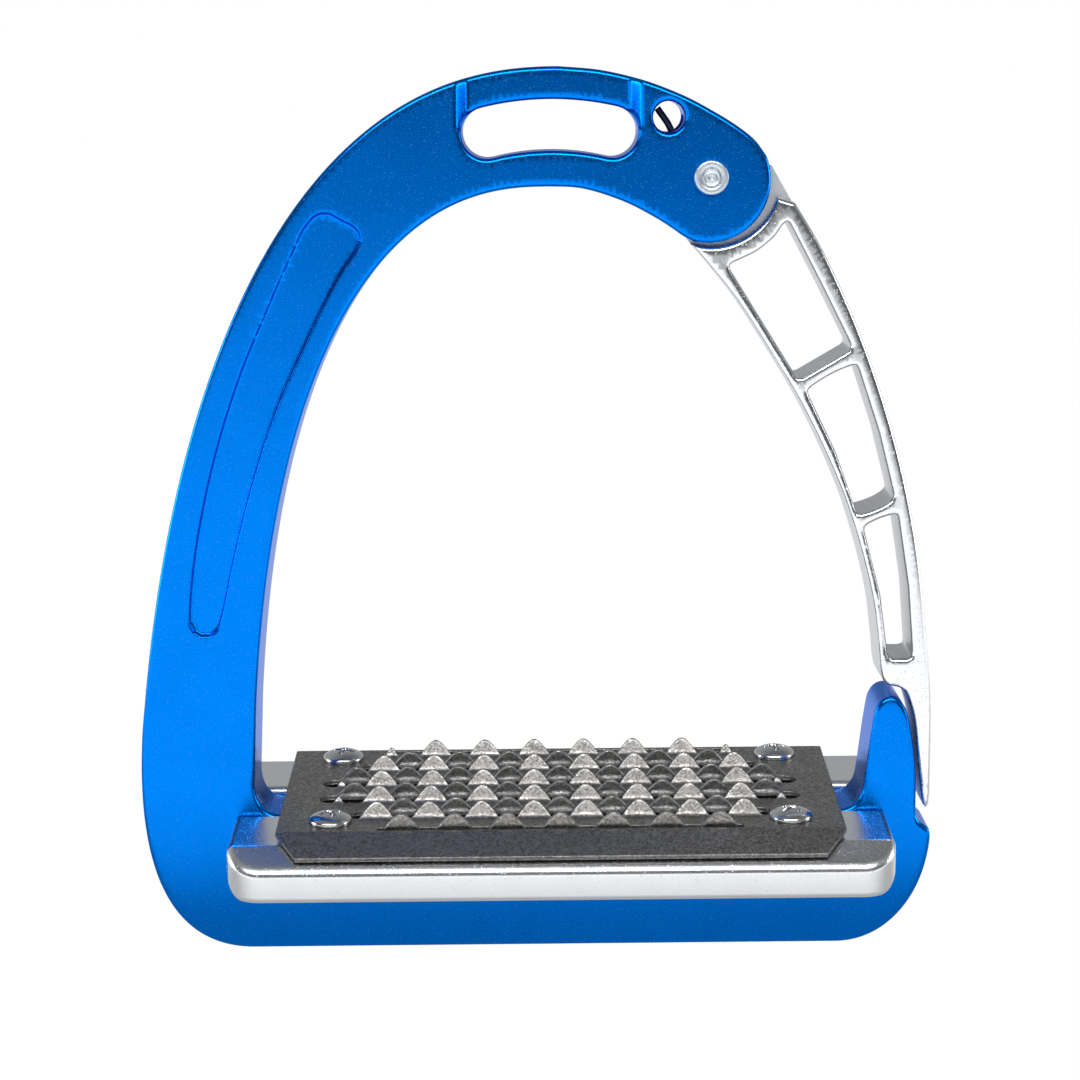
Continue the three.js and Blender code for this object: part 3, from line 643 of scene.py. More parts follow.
def missing_wall(node, reach):
    """A function of outline points: the reach where the middle plane of the node has no wall there, else 0."""
    middle = section_outlines(node, 0.0)

    def gap(points):
        return np.where(distance_to(points, middle) > 0.3 * MM, reach, 0.0)
    return gap


def arc(radius, start, end, steps, middle=(0.0, 0.0)):
    """Points on an arc, angles in degrees."""
    angle = np.radians(np.linspace(start, end, steps))
    return np.stack([middle[0] + radius * np.cos(angle), middle[1] + radius * np.sin(angle)], -1)


def slot_outline(left, right, low, high, steps=9):
    """A slot from left to right whose ends are half round: two arcs of half its height."""
    radius = (high - low) / 2
    middle = (high + low) / 2
    return np.concatenate([arc(radius, -90, 90, steps, (right - radius, middle)),
                           arc(radius, 90, 270, steps, (left + radius, middle))])


def inside(points, outline):
    """Whether each point is inside a closed outline: an odd number of its sides lies to the right."""
    x, y = points[:, 0, None], points[:, 1, None]
    x0, y0 = outline.T
    x1, y1 = np.roll(outline, -1, axis=0).T
    crosses = (y0 > y) != (y1 > y)
    rise = np.where(y1 == y0, 1.0, y1 - y0)
    return (crosses & (x < (x1 - x0) * (y - y0) / rise + x0)).sum(1) % 2 == 1


def flat_sheet(outline, holes, extra):
    """Triangles over an outline with holes, using the extra points inside it."""
    loops = [outline, *holes]
    points = np.concatenate([*loops, extra])
    starts = np.cumsum([0] + [len(loop) for loop in loops[:-1]])
    sides = [(start + i, start + (i + 1) % len(loop))
             for start, loop in zip(starts, loops) for i in range(len(loop))]
    vertices, _, faces, *_ = delaunay_2d_cdt([tuple(p) for p in points], sides, [], 0, 1e-7)
    vertices = np.array([tuple(v) for v in vertices])
    faces = np.array(faces)
    return vertices, faces[inside_all(vertices[faces].mean(1), loops)]


def bent_down(flat, half_depth, radius, angle, top):
    """Flat points bent down past the half depth: an arc up to the angle, then a straight skirt."""
    x, s = flat.T
    reach = np.maximum(np.abs(s) - half_depth + radius * math.tan(angle / 2), 0)
    turn = np.minimum(reach / radius, angle)
    after = np.maximum(reach - radius * angle, 0)
    start = half_depth - radius * math.tan(angle / 2)
    y = np.where(reach > 0, start + radius * np.sin(turn) + after * np.cos(turn), np.abs(s))
    z = top - radius * (1 - np.cos(turn)) - after * np.sin(turn)
    return np.stack([x, np.sign(s) * y, z], -1)


def rows_of_teeth(sizes):
    """Every fold line: (facing, its place along the foot, the places of its teeth across the foot)."""
    rows = []
    for row in range(5):
        crease = sizes.first_crease - row * sizes.pitch_y
        front_count = 6 if row == 0 else 8
        rear_count = 9 if row in (1, 2) else 7
        for facing, y, count in (("front", crease, front_count), ("rear", crease - sizes.strip, rear_count)):
            rows.append((facing, y, (np.arange(count) - (count - 1) / 2) * sizes.pitch_x))
    return rows


def folded_tooth(sizes, facing, x, y, width, height, columns=17):
    """A tooth folded up from the sheet, as a closed tube of sections across its width.

    Along the fold, a point leaves the flat, turns through an arc and goes straight up. The length of each
    section is a rounded triangle: the height times a falling hyperbola of the distance from the middle.
    """
    lean = math.radians(66 if facing == "front" else 84)
    across = np.linspace(-1, 1, columns)
    blunt = 0.42
    share = (math.hypot(1, blunt) - np.hypot(across, blunt)) / (math.hypot(1, blunt) - blunt)
    straight = (height - sizes.fold * (1 - math.cos(lean))) / math.sin(lean)
    longest = sizes.fold * lean + straight
    reach = longest * share
    corner = np.minimum(0.3 * MM, 0.45 * reach)
    thick = 0.92 * sizes.sheet
    quarter = np.radians(np.linspace(90, 0, 4))
    climb = np.linspace(0, 1, 8)[None, :] * (reach - corner)[:, None]
    along = np.concatenate([climb, (reach - corner)[:, None] + corner[:, None] * np.cos(quarter)[None, 1:]], 1)
    to_middle = np.concatenate([np.zeros_like(climb), corner[:, None] * (1 - np.sin(quarter))[None, 1:]], 1)
    loop_along = np.concatenate([along, along[:, ::-1]], 1)
    loop_in = np.concatenate([to_middle, thick - to_middle[:, ::-1]], 1)
    turn = np.minimum(loop_along / sizes.fold, lean)
    after = np.maximum(loop_along - sizes.fold * lean, 0)
    forward = sizes.fold * np.sin(turn) + after * np.cos(lean) + loop_in * np.sin(turn)
    up = sizes.fold * (1 - np.cos(turn)) + after * np.sin(lean) - loop_in * np.cos(turn)
    way = 1 if facing == "front" else -1
    side = np.broadcast_to((x + across * width / 2)[:, None], up.shape)
    points = np.stack([side, y - way * 0.5 * MM + way * forward, sizes.plate_top + up], -1)
    count = up.shape[1]
    return points.reshape(-1, 3), grid_faces(columns, count, closed=True)


# --- studio ------------------------------------------------------------------------------------

# What the metal mirrors at each elevation in degrees: before the iron, and behind it.
AHEAD = ((-90, 0.55), (-20, 0.6), (-15, 1.1), (-11, 1.55), (-7, 1.5), (-4, 0.5), (-2, 0.12), (4, 0.06),
         (20, 0.1), (38, 0.22), (60, 0.24), (90, 0.16))
BEHIND = ((-90, 0.9), (-6, 0.9), (2, 0.55), (12, 0.4), (30, 0.42), (60, 0.24), (90, 0.16))
HORIZON_LEAN = 0.12
CAMERA_PLACE = (0.00122, -0.53275, 0.16183)
CAMERA_PITCH = math.radians(90 - 9.1)
CAMERA_ROLL = -0.010
CAMERA_LENS = 95.67


# --- operators ---------------------------------------------------------------------------------

class IRON_OT_stage(bpy.types.Operator):
    """Floor, light and camera"""
    bl_idname = "iron.stage"
    bl_label = "Stage"

    def execute(self, context):
        make_floor()
        make_world(context.scene)
        make_lights()
        make_camera(context.scene)
        return {"FINISHED"}


def make_floor():
    """A plain pale floor: an even white to the eye, and in the metal a painted shadow that makes it darker
    close to the iron.
    """
    points = np.array([(-3, -0.42, 0), (3, -0.42, 0), (3, 6, 0), (-3, 6, 0)], float)
    finish = Finish("pale_floor", (0.02, 0.02, 0.02), 0.0, 0.9)
    depth = finish.split()[1]
    # Painted shadow: what the metal mirrors falls from 1.32 to 0.47 between 100 mm and 30 mm before the iron,
    # and rises to 0.87 from its middle to 40 mm behind it.
    near = finish.step(depth, -100 * MM, -30 * MM)
    level = 1.32 - 0.85 * near + 0.4 * finish.step(depth, 0.0, 40 * MM)
    eye = finish.node("ShaderNodeLightPath", {}, {}, "Is Camera Ray")
    glow = finish.node("ShaderNodeCombineColor", {}, {0: level, 1: level, 2: level})
    finish.feed(Emission_Color=finish.mix(eye, glow, (1, 1, 1)))
    finish.shader.inputs["Emission Strength"].default_value = 1.0
    finish.shader.inputs["Specular IOR Level"].default_value = 0.0
    floor = piece("floor", points, [(0, 1, 2, 3)], finish.material)


def make_world(scene):
    """A white surround for the eye; what the metal mirrors is a gradient by height, one ahead and one behind.

    Both gradients lean, so that the same height is darker to the right.
    """
    world = bpy.data.worlds.new("studio")
    world.use_nodes = True
    scene.world = world
    tree = world.node_tree
    tree.nodes.clear()

    def node(kind, settings, links):
        made = tree.nodes.new(kind)
        for setting, value in settings.items():
            setattr(made, setting, value)
        for socket, value in links.items():
            if isinstance(value, bpy.types.NodeSocket):
                tree.links.new(value, made.inputs[socket])
            else:
                made.inputs[socket].default_value = value
        return made

    def scaled(socket, factor, added):
        sockets = {0: socket, 1: factor, 2: added}
        return node("ShaderNodeMath", {"operation": "MULTIPLY_ADD"}, sockets).outputs[0]

    place = node("ShaderNodeTexCoord", {}, {}).outputs["Generated"]
    split = node("ShaderNodeSeparateXYZ", {}, {0: place})
    level = scaled(split.outputs["Z"], 0.5, 0.5)
    height = scaled(split.outputs["X"], HORIZON_LEAN, level)
    behind = node("ShaderNodeMapRange", {}, {0: split.outputs["Y"], 1: -0.2, 2: 0.3, 3: 0.0, 4: 1.0}).outputs[0]
    ramps = []
    for stops in (AHEAD, BEHIND):
        ramp = node("ShaderNodeValToRGB", {}, {"Fac": height})
        while len(ramp.color_ramp.elements) < len(stops):
            ramp.color_ramp.elements.new(0.5)
        for element, (degrees, level) in zip(ramp.color_ramp.elements, stops):
            element.position = 0.5 + 0.5 * math.sin(math.radians(degrees))
            element.color = (level * 0.97, level * 0.99, level, 1)
        ramps.append(ramp.outputs["Color"])
    seen = node("ShaderNodeMix", {"data_type": "RGBA"}, {0: behind, 6: ramps[0], 7: ramps[1]}).outputs[2]
    mirrored = node("ShaderNodeBackground", {}, {"Color": seen}).outputs[0]
    shown = node("ShaderNodeBackground", {}, {"Color": (1, 1, 1, 1)}).outputs[0]
    eye = node("ShaderNodeLightPath", {}, {}).outputs["Is Camera Ray"]
    choice = node("ShaderNodeMixShader", {}, {0: eye, 1: mirrored, 2: shown}).outputs[0]
    node("ShaderNodeOutputWorld", {}, {"Surface": choice})
    scene.view_settings.view_transform = "Standard"


def make_lights():
    """Soft boxes: a long key above the front, and a low one at each side."""
    soft_box("key_light", (-0.05, -0.95, 0.95), (0.0, 0.0, 0.05), 1.5, 0.3, 12.0)
    soft_box("left_light", (-1.0, 0.05, 0.2), (0.0, 0.0, 0.09), 0.35, 0.5, 3.0)
    soft_box("right_light", (1.0, 0.05, 0.2), (0.0, 0.0, 0.09), 0.35, 0.5, 3.0)


def soft_box(name, place, target, width, height, power):
    light = bpy.data.lights.new(name, "AREA")
    light.shape = "RECTANGLE"
    light.size = width
    light.size_y = height
    light.energy = power
    lamp = bpy.data.objects.new(name, light)
    direction = np.array(target) - np.array(place)
    lamp.location = place
    lamp.rotation_euler = to_track(direction)
    bpy.context.scene.collection.objects.link(lamp)


def to_track(direction):
    return Vector(direction).to_track_quat("-Z", "Y").to_euler()


def make_camera(scene):
    """A long lens in front of the iron, level with its top and looking slightly down."""
    lens = bpy.data.cameras.new("camera")
    lens.lens = CAMERA_LENS
    lens.sensor_width = 36
    lens.clip_start = 0.01
    lens.clip_end = 50
    camera = bpy.data.objects.new("camera", lens)
    pitch = Matrix.Rotation(CAMERA_PITCH, 4, "X")
    roll = Matrix.Rotation(CAMERA_ROLL, 4, "Z")
    camera.matrix_world = Matrix.Translation(CAMERA_PLACE) @ pitch @ roll
    scene.collection.objects.link(camera)
    scene.camera = camera


class IRON_OT_frame(bpy.types.Operator):
    """Blue frame with rounded cuts"""
    bl_idname = "iron.frame"
    bl_label = "Frame"

    def execute(self, context):
        made = make_frame(context.scene.iron_sizes, blue_anodised(context.scene.iron_colours))
        settle(made, "iron", "frame_blue", "frame")
        return {"FINISHED"}


def make_frame(iron, material):
    """A rolled plate with a long shallow pocket and a thinner bar for the leather on both faces."""
    half = (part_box("frame")[1].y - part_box("frame")[0].y) / 2
    loops = [curved(loop, 0.4 * MM) for loop in section_outlines("frame", 5.0 * MM)]
    near_face = section_outlines("frame", half - 0.35 * MM)
    pocket = next(curved(loop[::-1], 0.4 * MM) for loop in near_face[1:] if loop[:, 0].max() < -25 * MM)
    fork_gap = missing_wall("frame", iron.fork_half)
    lows = [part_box(f"base_screw_{n}") for n in (1, 2)]

    def gap(points):
        open_half = fork_gap(points)
        for low, high in lows:
            dx = points[:, 0] - (low.x + high.x) / 2
            radius = np.where(points[:, 1] < 1 * MM, iron.screw_pocket, iron.screw_hole)
            hole = np.sqrt(np.clip(radius ** 2 - dx ** 2, 0, None))
            open_half = np.where((np.abs(dx) < radius) & (points[:, 1] < 21 * MM), hole, open_half)
        return open_half

    def face(points):
        x, z = points.T
        wide = soft_ramp((x - iron.bar_left) / iron.bar_slope)
        wide = wide * soft_ramp((iron.bar_right - x) / iron.bar_slope)
        bar = iron.bar_sunk * wide * soft_ramp((z - iron.bar_foot) / (0.8 * MM))
        depth_in = np.where(inside(points, pocket), 1, -1) * distance_to(points, [pocket])
        return half - bar - iron.pocket_sunk * soft_ramp((depth_in + 0.1 * MM) / (0.5 * MM), 0.3)

    extra = [inward(pocket, d * MM) for d in (-0.3, -0.18, -0.06, 0.06, 0.2, 0.34, 0.46, 0.6)]
    steps = np.linspace(-0.2, 1.2, 15) * iron.bar_slope
    rise = np.arange(152.0, 165.0, 0.5) * MM
    for columns in (iron.bar_left + steps, iron.bar_right - steps):
        extra.append(np.stack(np.meshgrid(columns, rise), -1).reshape(-1, 2))
    roll = iron.frame_edge
    skin, faces = rolled_plate(loops, face, lambda points: -face(points), roll, roll, gap, extra)
    return skinned("frame_body", skin, faces, core_of("frame", iron.fork_half), material)


def skinned(name, skin, faces, core, material):
    """A stood-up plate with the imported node's inner faces added to it."""
    faces = faces + (core[1] + len(skin)).tolist()
    points = np.concatenate([stood_up(skin), core[0]])
    made = piece(name, points, faces, material, 50, merge=2e-6, turn_out=False)
    weigh_normals(made)
    return made


class IRON_OT_arm(bpy.types.Operator):
    """Opening arm with rolled edges"""
    bl_idname = "iron.arm"
    bl_label = "Opening arm"

    def execute(self, context):
        made = make_arm(context.scene.iron_sizes, polished_aluminium(context.scene.iron_colours))
        settle(made, "arm", "arm_polish", "release_arm")
        return {"FINISHED"}


def make_arm(iron, material):
    """A rolled plate with three windows, and the tongue that it grips the hinge with."""
    half = (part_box("release_arm")[1].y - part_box("release_arm")[0].y) / 2
    loops = [curved(loop, 0.35 * MM) for loop in section_outlines("release_arm", 5.0 * MM)]
    gap = missing_wall("release_arm", iron.tongue_half)

    def face(points):
        return np.full(len(points), half)

    def back(points):
        return np.full(len(points), -half)

    skin, faces = rolled_plate(loops, face, back, iron.arm_edge, iron.arm_edge, gap)
    return skinned("opening_arm", skin, faces, core_of("release_arm", iron.tongue_half), material)


class IRON_OT_footbed(bpy.types.Operator):
    """Footbed with softened edges"""
    bl_idname = "iron.footbed"
    bl_label = "Footbed"

    def execute(self, context):
        made = make_footbed(context.scene.iron_sizes, satin_aluminium(context.scene.iron_colours))
        settle(made, "iron", "footbed_satin", "footbed")
        return {"FINISHED"}


def make_footbed(iron, material):
    """A level casting, then tilted: sloped front and rear margins, a raised pad and a channel for the bar.

    Its top is a pad height inside the pad and falls with the distance past each margin line. Its underside
    is flat, rises as a quarter circle at each end, and holds the channel, whose roof is level once tilted.
    """
    half, front, rear = iron.footbed_length / 2, iron.footbed_front, iron.footbed_rear
    corner = iron.footbed_corner
    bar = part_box("frame")[1].y + 0.3 * MM
    seat_left, seat_right = iron.seat_left - TREAD_ORIGIN[0], iron.seat_right - TREAD_ORIGIN[0]
    ends = [(half - corner, front + corner, -90, 0), (half - corner, rear - corner, 0, 90),
            (corner - half, rear - corner, 90, 180), (corner - half, front + corner, 180, 270)]
    rounds = [arc(corner, low, high, 14, (x, y)) for x, y, low, high in ends]
    right_notch = np.array([(half, -bar), (seat_right, -bar), (seat_right, bar), (half, bar)])
    left_notch = np.array([(-half, bar), (seat_left, bar), (seat_left, -bar), (-half, -bar)])
    outline = np.concatenate([rounds[0], right_notch, rounds[1], rounds[2], left_notch, rounds[3]])
    outline = stepped(outline, 0.8 * MM)
    holes = [arc(2.3 * MM, 360, 15, 24, (x, y)) for x in (-SCREW_X, SCREW_X) for y in (-SCREW_Y, SCREW_Y)]
    pad_x, pad_y = iron.plate_length / 2 - 1.2 * MM, 23.9 * MM
    slope = 0.3 * MM

    def top(points):
        x, y = points.T
        over = np.maximum(np.maximum(front + iron.margin_run - y, y - rear + iron.margin_run), 0)
        pad = soft_ramp((pad_x - np.abs(x)) / slope + 0.5) * soft_ramp((pad_y - np.abs(y)) / slope + 0.5)
        return iron.pad_height * pad - over * iron.margin_drop / iron.margin_run

    def bottom(points):
        x, y = points.T
        past = np.clip((np.abs(x) - half + iron.footbed_end) / iron.footbed_end, 0, 1)
        base = iron.footbed_end * (1 - np.sqrt(1 - past ** 2)) - iron.footbed_height
        roof = (iron.bar_seat - TREAD_ORIGIN[2]) / math.cos(TREAD_TILT) - y * math.tan(TREAD_TILT)
        inner = np.clip((bar - np.abs(y)) / (0.05 * MM) + 0.5, 0, 1)
        return base + inner * (roof - base)

    across = np.arange(-half, half, 1.0 * MM)
    margins = [front + iron.margin_run, rear - iron.margin_run]
    lines = [m + d * MM for m in margins for d in (-0.5, -0.2, 0, 0.2, 0.5)]
    lines += [side * (bar + d * MM) for side in (-1, 1) for d in (-0.03, 0.03)]
    lines += [side * (pad_y + d * MM) for side in (-1, 1) for d in (-0.25, -0.1, 0, 0.1, 0.25)]
    extra = [np.stack(np.meshgrid(across, lines), -1).reshape(-1, 2)]
    sides = [side * (pad_x + d * MM) for side in (-1, 1) for d in (-0.25, -0.1, 0, 0.1, 0.25)]
    extra.append(np.stack(np.meshgrid(sides, np.arange(front, rear, 1.0 * MM)), -1).reshape(-1, 2))
    skin, faces = rolled_plate([outline, *holes], top, bottom, iron.footbed_edge, iron.footbed_under,
                               extra=extra)
    made = piece("footbed_casting", on_tread(skin), faces, material, 50, merge=2e-6, turn_out=False)
    weigh_normals(made)
    return made


def stepped(outline, longest):
    """The same closed outline with points added so that no side is longer than asked."""
    after = np.roll(outline, -1, axis=0)
    size = np.linalg.norm(after - outline, axis=1)
    steps = np.maximum(1, np.ceil(size / longest)).astype(int)
    which = np.repeat(np.arange(len(outline)), steps)
    share = (np.arange(len(which)) - np.repeat(np.cumsum(steps) - steps, steps)) / steps[which]
    points = outline[which] + share[:, None] * (after - outline)[which]
    return points[np.linalg.norm(points - np.roll(points, 1, axis=0), axis=1) > 1e-6]


class IRON_OT_tread(bpy.types.Operator):
    """Toothed steel sheet"""
    bl_idname = "iron.tread"
    bl_label = "Tread sheet"

    def execute(self, context):
        iron = context.scene.iron_sizes
        colours = context.scene.iron_colours
        sheet = make_sheet(iron, blasted_steel("blasted_steel", colours.sheet))
        settle(sheet, "iron", "tread_steel", "tread_plate")
        teeth = make_teeth(iron, blasted_steel("worn_steel", colours.worn))
        settle(teeth, "iron", "tread_steel", "tread_plate")
        return {"FINISHED"}


def make_sheet(iron, material):
    """The sheet cut flat with its slots and holes, then bent down at its front and rear."""
    angle = math.atan2(iron.skirt_drop, iron.skirt_run)
    bend = 1.6 * MM
    skirt = math.hypot(iron.skirt_run, iron.skirt_drop) - 2 * bend * math.tan(angle / 2) + bend * angle
    half = iron.plate_length / 2
    crease = iron.plate_half_depth
    edge = crease + skirt
    corner = half - iron.skirt_taper
    outline = np.array([(-half, -crease), (-corner, -edge), (corner, -edge), (half, -crease),
                        (half, crease), (corner, edge), (-corner, edge), (-half, crease)])
    holes = []
    for row in range(4):
        high = iron.first_crease - iron.strip - row * iron.pitch_y
        low = high - iron.pitch_y + iron.strip
        reach = INNER_SLOT if row in (1, 2) else OUTER_SLOT
        holes.append(slot_outline(-reach, reach, low, high))
    holes.append(slot_outline(-REAR_SLOT, REAR_SLOT, iron.first_crease, REAR_SLOT_EDGE, 5))
    last = iron.first_crease - 4 * iron.pitch_y - iron.strip
    holes.append(slot_outline(-FRONT_SLOT, FRONT_SLOT, FRONT_SLOT_EDGE, last, 5))
    rows = [side * (crease + offset * MM) for side in (-1, 1) for offset in (-0.45, -0.15, 0.15, 0.45, 1.2)]
    columns = np.linspace(-half + 1.5 * MM, half - 1.5 * MM, 53)
    extra = np.array([(x, s) for s in rows for x in columns])
    extra = extra[inside_all(extra, [outline, *holes])]
    flat, faces = flat_sheet(outline, holes, extra)
    points = on_tread(bent_down(flat, crease, bend, angle, iron.plate_top))
    made = piece("tread_sheet", points, faces, material, 50)
    solid = made.modifiers.new("Sheet", "SOLIDIFY")
    solid.thickness = iron.sheet
    solid.offset = -1
    solid.use_even_offset = True
    round_edges(made, iron.sheet_edge, 55, segments=2)
    return made


def make_teeth(iron, material):
    """All the teeth: full ones on every fold line and small ones at the ends of three rows."""
    parts = []
    for facing, y, places in rows_of_teeth(iron):
        size = FRONT_TOOTH if facing == "front" else REAR_TOOTH
        parts += [folded_tooth(iron, facing, x, y, *size) for x in places]
    for side in (-1, 1):
        parts.append(folded_tooth(iron, "front", side * REAR_SMALL_X, iron.first_crease, *REAR_SMALL_TOOTH))
        for row in (2, 3):
            y = iron.first_crease - row * iron.pitch_y
            parts.append(folded_tooth(iron, "front", side * END_SMALL_X, y, *END_SMALL_TOOTH, 9))
    points, faces = joined(parts)
    return piece("tread_teeth", on_tread(points), faces, material, 60, merge=2e-6)


class IRON_OT_screws(bpy.types.Operator):
    """Domed cross-recess screws of the tread and the socket screws from below"""
    bl_idname = "iron.screws"
    bl_label = "Screws"

    def execute(self, context):
        steel = bright_steel(context.scene.iron_colours)
        for number in range(1, 5):
            node = f"tread_screw_{number}"
            made = make_tread_screw(node, steel, turn=25 * number)
            settle(made, "iron", "screw_steel", node)
        for number in (1, 2):
            node = f"base_screw_{number}"
            made = worked_copy(node, f"socket_screw_{number}", steel)
            round_edges(made, 0.15 * MM, 40, segments=2)
            settle(made, "iron", "screw_steel", node)
        return {"FINISHED"}


def make_tread_screw(node, material, turn):
    """A domed head: height is a flattened dome of the radius, less a cross that deepens to the middle."""
    low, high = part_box(node)
    middle = ((low.x + high.x) / 2 - TREAD_ORIGIN[0], SCREW_Y * (1 if (low.y + high.y) > 0 else -1))
    seat = 2.3 * MM
    head, rise, rim = 3.95 * MM, 1.88 * MM, 0.35 * MM
    radius = np.concatenate([np.linspace(0, 2.4, 30), np.linspace(2.5, 3.7, 12), [3.82, 3.9, 3.94, 3.95]]) * MM
    angle = np.linspace(0, 2 * np.pi, 96, endpoint=False)
    r = radius[:, None] + 0 * angle
    x, y = r * np.cos(angle), r * np.sin(angle)
    dome = rim + (rise - rim) * np.sqrt(np.clip(1 - (r / head) ** 2, 0, 1)) ** 1.15
    wide, long = 0.42 * MM, 2.1 * MM
    soft = 0.14 * MM

    def bar(a, b):
        within = np.clip((wide - np.abs(a)) / soft + 0.5, 0, 1)
        return within * np.clip((long - np.abs(b)) / (2 * soft) + 0.5, 0, 1)

    cross = np.maximum(bar(x, y), bar(y, x))
    top = seat + dome - cross * (1.5 * MM - 0.5 * r)
    head_points = np.stack([x, y, top], -1).reshape(-1, 3)
    head_faces = grid_faces(len(radius), 96, closed=True)
    shank, low_end = 2.0 * MM, -6.7 * MM
    body = [(head, seat), (shank, seat), (shank, -6.2 * MM), (1.6 * MM, low_end), (0, low_end)]
    body_points, body_faces = turned(body, 96)
    rim_points, rim_faces = turned([(head, seat + rim), (head, seat)], 96)
    points, faces = joined([(head_points, head_faces), (rim_points, rim_faces), (body_points, body_faces)])
    spin = math.radians(turn)
    cosine, sine = math.cos(spin), math.sin(spin)
    spun = points @ np.array([[cosine, sine, 0], [-sine, cosine, 0], [0, 0, 1]])
    place = spun + np.array([*middle, 0])
    return piece(node.replace("tread_screw", "domed_screw"), on_tread(place), faces, material, 45)


class IRON_OT_hinge(bpy.types.Operator):
    """Rivet, bush and thrust washers"""
    bl_idname = "iron.hinge"
    bl_label = "Hinge"

    def execute(self, context):
        colours = context.scene.iron_colours
        rivet = make_rivet(zinc_plate(colours))
        settle(rivet, "iron", "rivet_steel", "pivot_rivet")
        bush = make_ring("hinge_bush", "pivot_bush", 2.16 * MM, sintered_bronze(colours))
        settle(bush, "arm", "bush_bronze", "pivot_bush")
        nylon = pale_nylon(colours)
        for end in ("front", "rear"):
            washer = make_ring(f"washer_{end}", f"thrust_washer_{end}", 2.3 * MM, nylon)
            settle(washer, "iron", "washer_nylon", f"thrust_washer_{end}")
        return {"FINISHED"}


def make_rivet(material):
    """Turned about the hinge: a headed pin whose heads carry two grooves and a dimple, like a peened rivet."""
    head = [(0, -0.42), (0.25, -0.4), (0.42, -0.22), (0.55, -0.14), (0.95, -0.16), (1.08, -0.24), (1.2, -0.14),
            (1.45, -0.05), (1.62, -0.16), (1.75, -0.32), (1.9, -0.16), (2.1, -0.02), (2.75, 0), (2.98, -0.08),
            (3.1, -0.22), (3.15, -0.42), (3.15, -1.2), (2.1, -1.2)]
    face = 9.0
    profile = [(r, face + h) for r, h in head] + [(r, -face - h) for r, h in reversed(head)]
    points, faces = turned([(r * MM, h * MM) for r, h in profile], 72)
    return piece("hinge_rivet", about_hinge(points), faces, material, 50)


def make_ring(name, node, inner, material):
    """Turned about the hinge: a ring of square section with small chamfers, as wide as its node."""
    low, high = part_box(node)
    outer = (high.x - low.x) / 2
    chamfer = 0.1 * MM
    front, rear = -high.y, -low.y
    profile = [(inner, front + chamfer), (inner + chamfer, front),
               (outer - chamfer, front), (outer, front + chamfer),
               (outer, rear - chamfer), (outer - chamfer, rear),
               (inner + chamfer, rear), (inner, rear - chamfer), (inner, front + chamfer)]
    points, faces = turned(profile, 72)
    return piece(name, about_hinge(points), faces, material, 35)


class IRON_OT_spring(bpy.types.Operator):
    """Closing spring round the bush"""
    bl_idname = "iron.spring"
    bl_label = "Closing spring"

    def execute(self, context):
        iron = context.scene.iron_sizes
        spring = make_spring(iron, spring_wire(context.scene.iron_colours))
        start = (PIVOT.x, -2.9 * MM, PIVOT.z)
        end = (PIVOT.x, 0.25 * MM, PIVOT.z)
        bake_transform(spring, "iron", "arm", start=start, end=end)
        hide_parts("closing_spring")
        return {"FINISHED"}


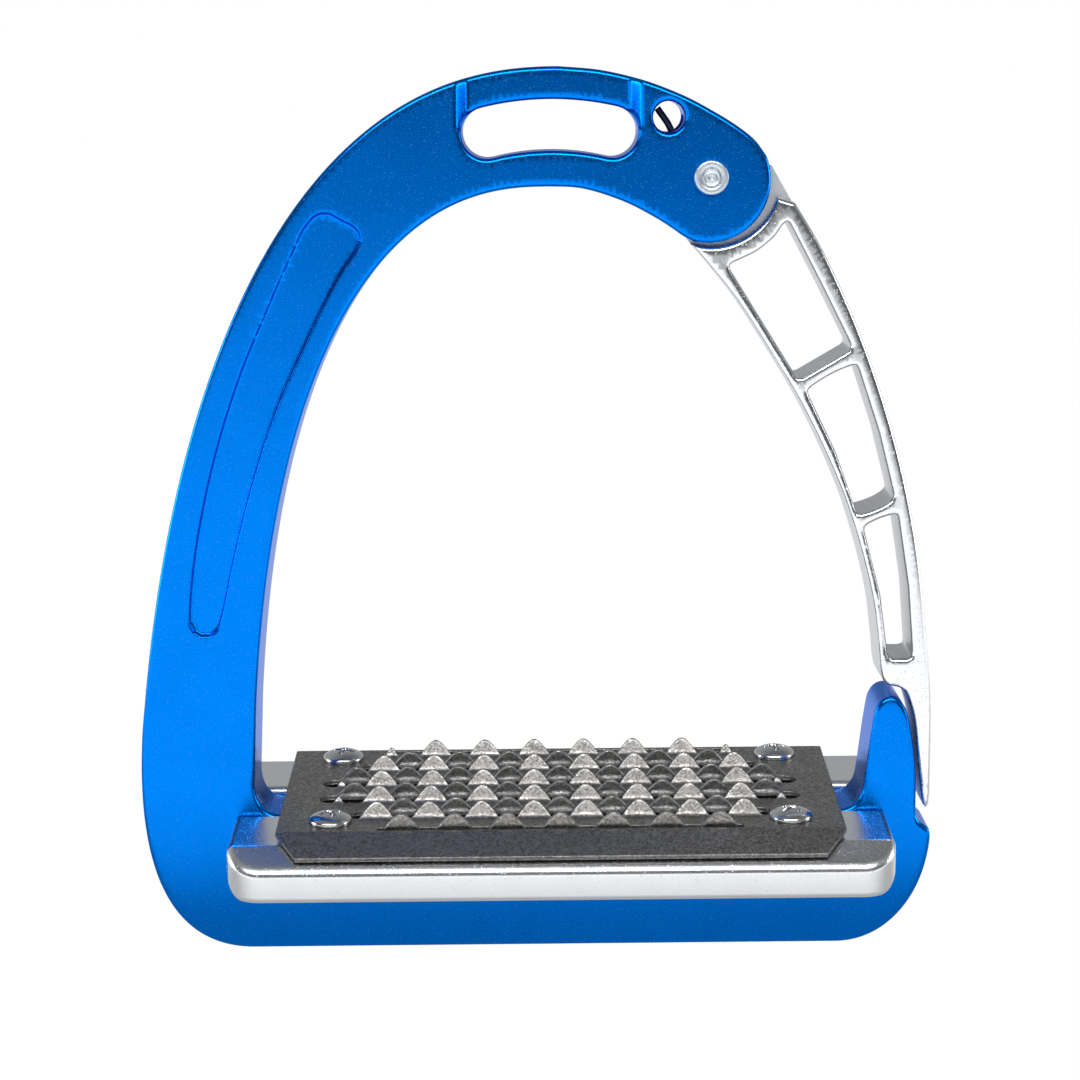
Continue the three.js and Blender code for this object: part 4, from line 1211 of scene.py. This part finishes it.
def make_spring(iron, material):
    """A wire along a leg, a helix of 2.25 turns and a short leg: a circle square to the path at each step."""
    turns = 2.25
    first = math.radians(205)
    angle = first + np.linspace(0, turns * 2 * np.pi, 120)
    coil = np.stack([PIVOT.x + iron.spring_radius * np.cos(angle),
                     -2.9 * MM + iron.spring_pitch * (angle - first) / (2 * np.pi),
                     PIVOT.z + iron.spring_radius * np.sin(angle)], -1)
    leg = np.array([(23.4, -2.9, 156.6), (24.4, -2.9, 155.2), (25.3, -2.9, 153.9), (26.1, -2.9, 152.3),
                    (26.9, -2.9, 150.2), (27.5, -2.9, 147.8), (28.1, -2.9, 145.4)]) * MM
    last = angle[-1] + np.pi / 2
    along = np.linspace(0.2, 1, 6)[:, None] * 4.4 * MM
    tail = coil[-1] + along * np.array([math.cos(last), 0, math.sin(last)])
    path = np.concatenate([leg, coil, tail])
    tangent = np.gradient(path, axis=0)
    tangent /= np.linalg.norm(tangent, axis=1)[:, None]
    side = np.cross(np.array([0.0, 1.0, 0.0]), tangent)
    side /= np.linalg.norm(side, axis=1)[:, None]
    other = np.cross(tangent, side)
    around = np.linspace(0, 2 * np.pi, 16, endpoint=False)
    across, over = np.cos(around)[None, :, None], np.sin(around)[None, :, None]
    circle = side[:, None, :] * across + other[:, None, :] * over
    tube = path[:, None, :] + iron.spring_wire * circle
    ends = [np.broadcast_to(path[i], (1, 16, 3)) for i in (0, -1)]
    points = np.concatenate([ends[0], tube, ends[1]]).reshape(-1, 3)
    return piece("torsion_spring", points, grid_faces(len(path) + 2, 16, closed=True), material, 60)


class IRON_PT_panel(bpy.types.Panel):
    """Sizes, colours and the pieces that can be made"""
    bl_idname = "IRON_PT_panel"
    bl_label = "Stirrup iron"
    bl_space_type = "VIEW_3D"
    bl_region_type = "UI"
    bl_category = "Stirrup Iron"

    def draw(self, context):
        for group in (context.scene.iron_sizes, context.scene.iron_colours):
            for name in group.bl_rna.properties.keys():
                if name not in ("rna_type", "name"):
                    self.layout.prop(group, name)
        for operator in OPERATORS:
            self.layout.operator(operator.bl_idname)


OPERATORS = (IRON_OT_stage, IRON_OT_frame, IRON_OT_arm, IRON_OT_footbed, IRON_OT_tread, IRON_OT_screws,
             IRON_OT_hinge, IRON_OT_spring)
CLASSES = (IronSizes, IronColours, *OPERATORS, IRON_PT_panel)


def register():
    for made in CLASSES:
        bpy.utils.register_class(made)
    bpy.types.Scene.iron_sizes = bpy.props.PointerProperty(type=IronSizes)
    bpy.types.Scene.iron_colours = bpy.props.PointerProperty(type=IronColours)


def unregister():
    del bpy.types.Scene.iron_sizes
    del bpy.types.Scene.iron_colours
    for made in reversed(CLASSES):
        bpy.utils.unregister_class(made)


def main():
    register()
    bpy.ops.iron.stage()
    bpy.ops.iron.frame()
    bpy.ops.iron.arm()
    bpy.ops.iron.footbed()
    bpy.ops.iron.tread()
    bpy.ops.iron.screws()
    bpy.ops.iron.hinge()
    bpy.ops.iron.spring()


if __name__ == "__main__":
    main()
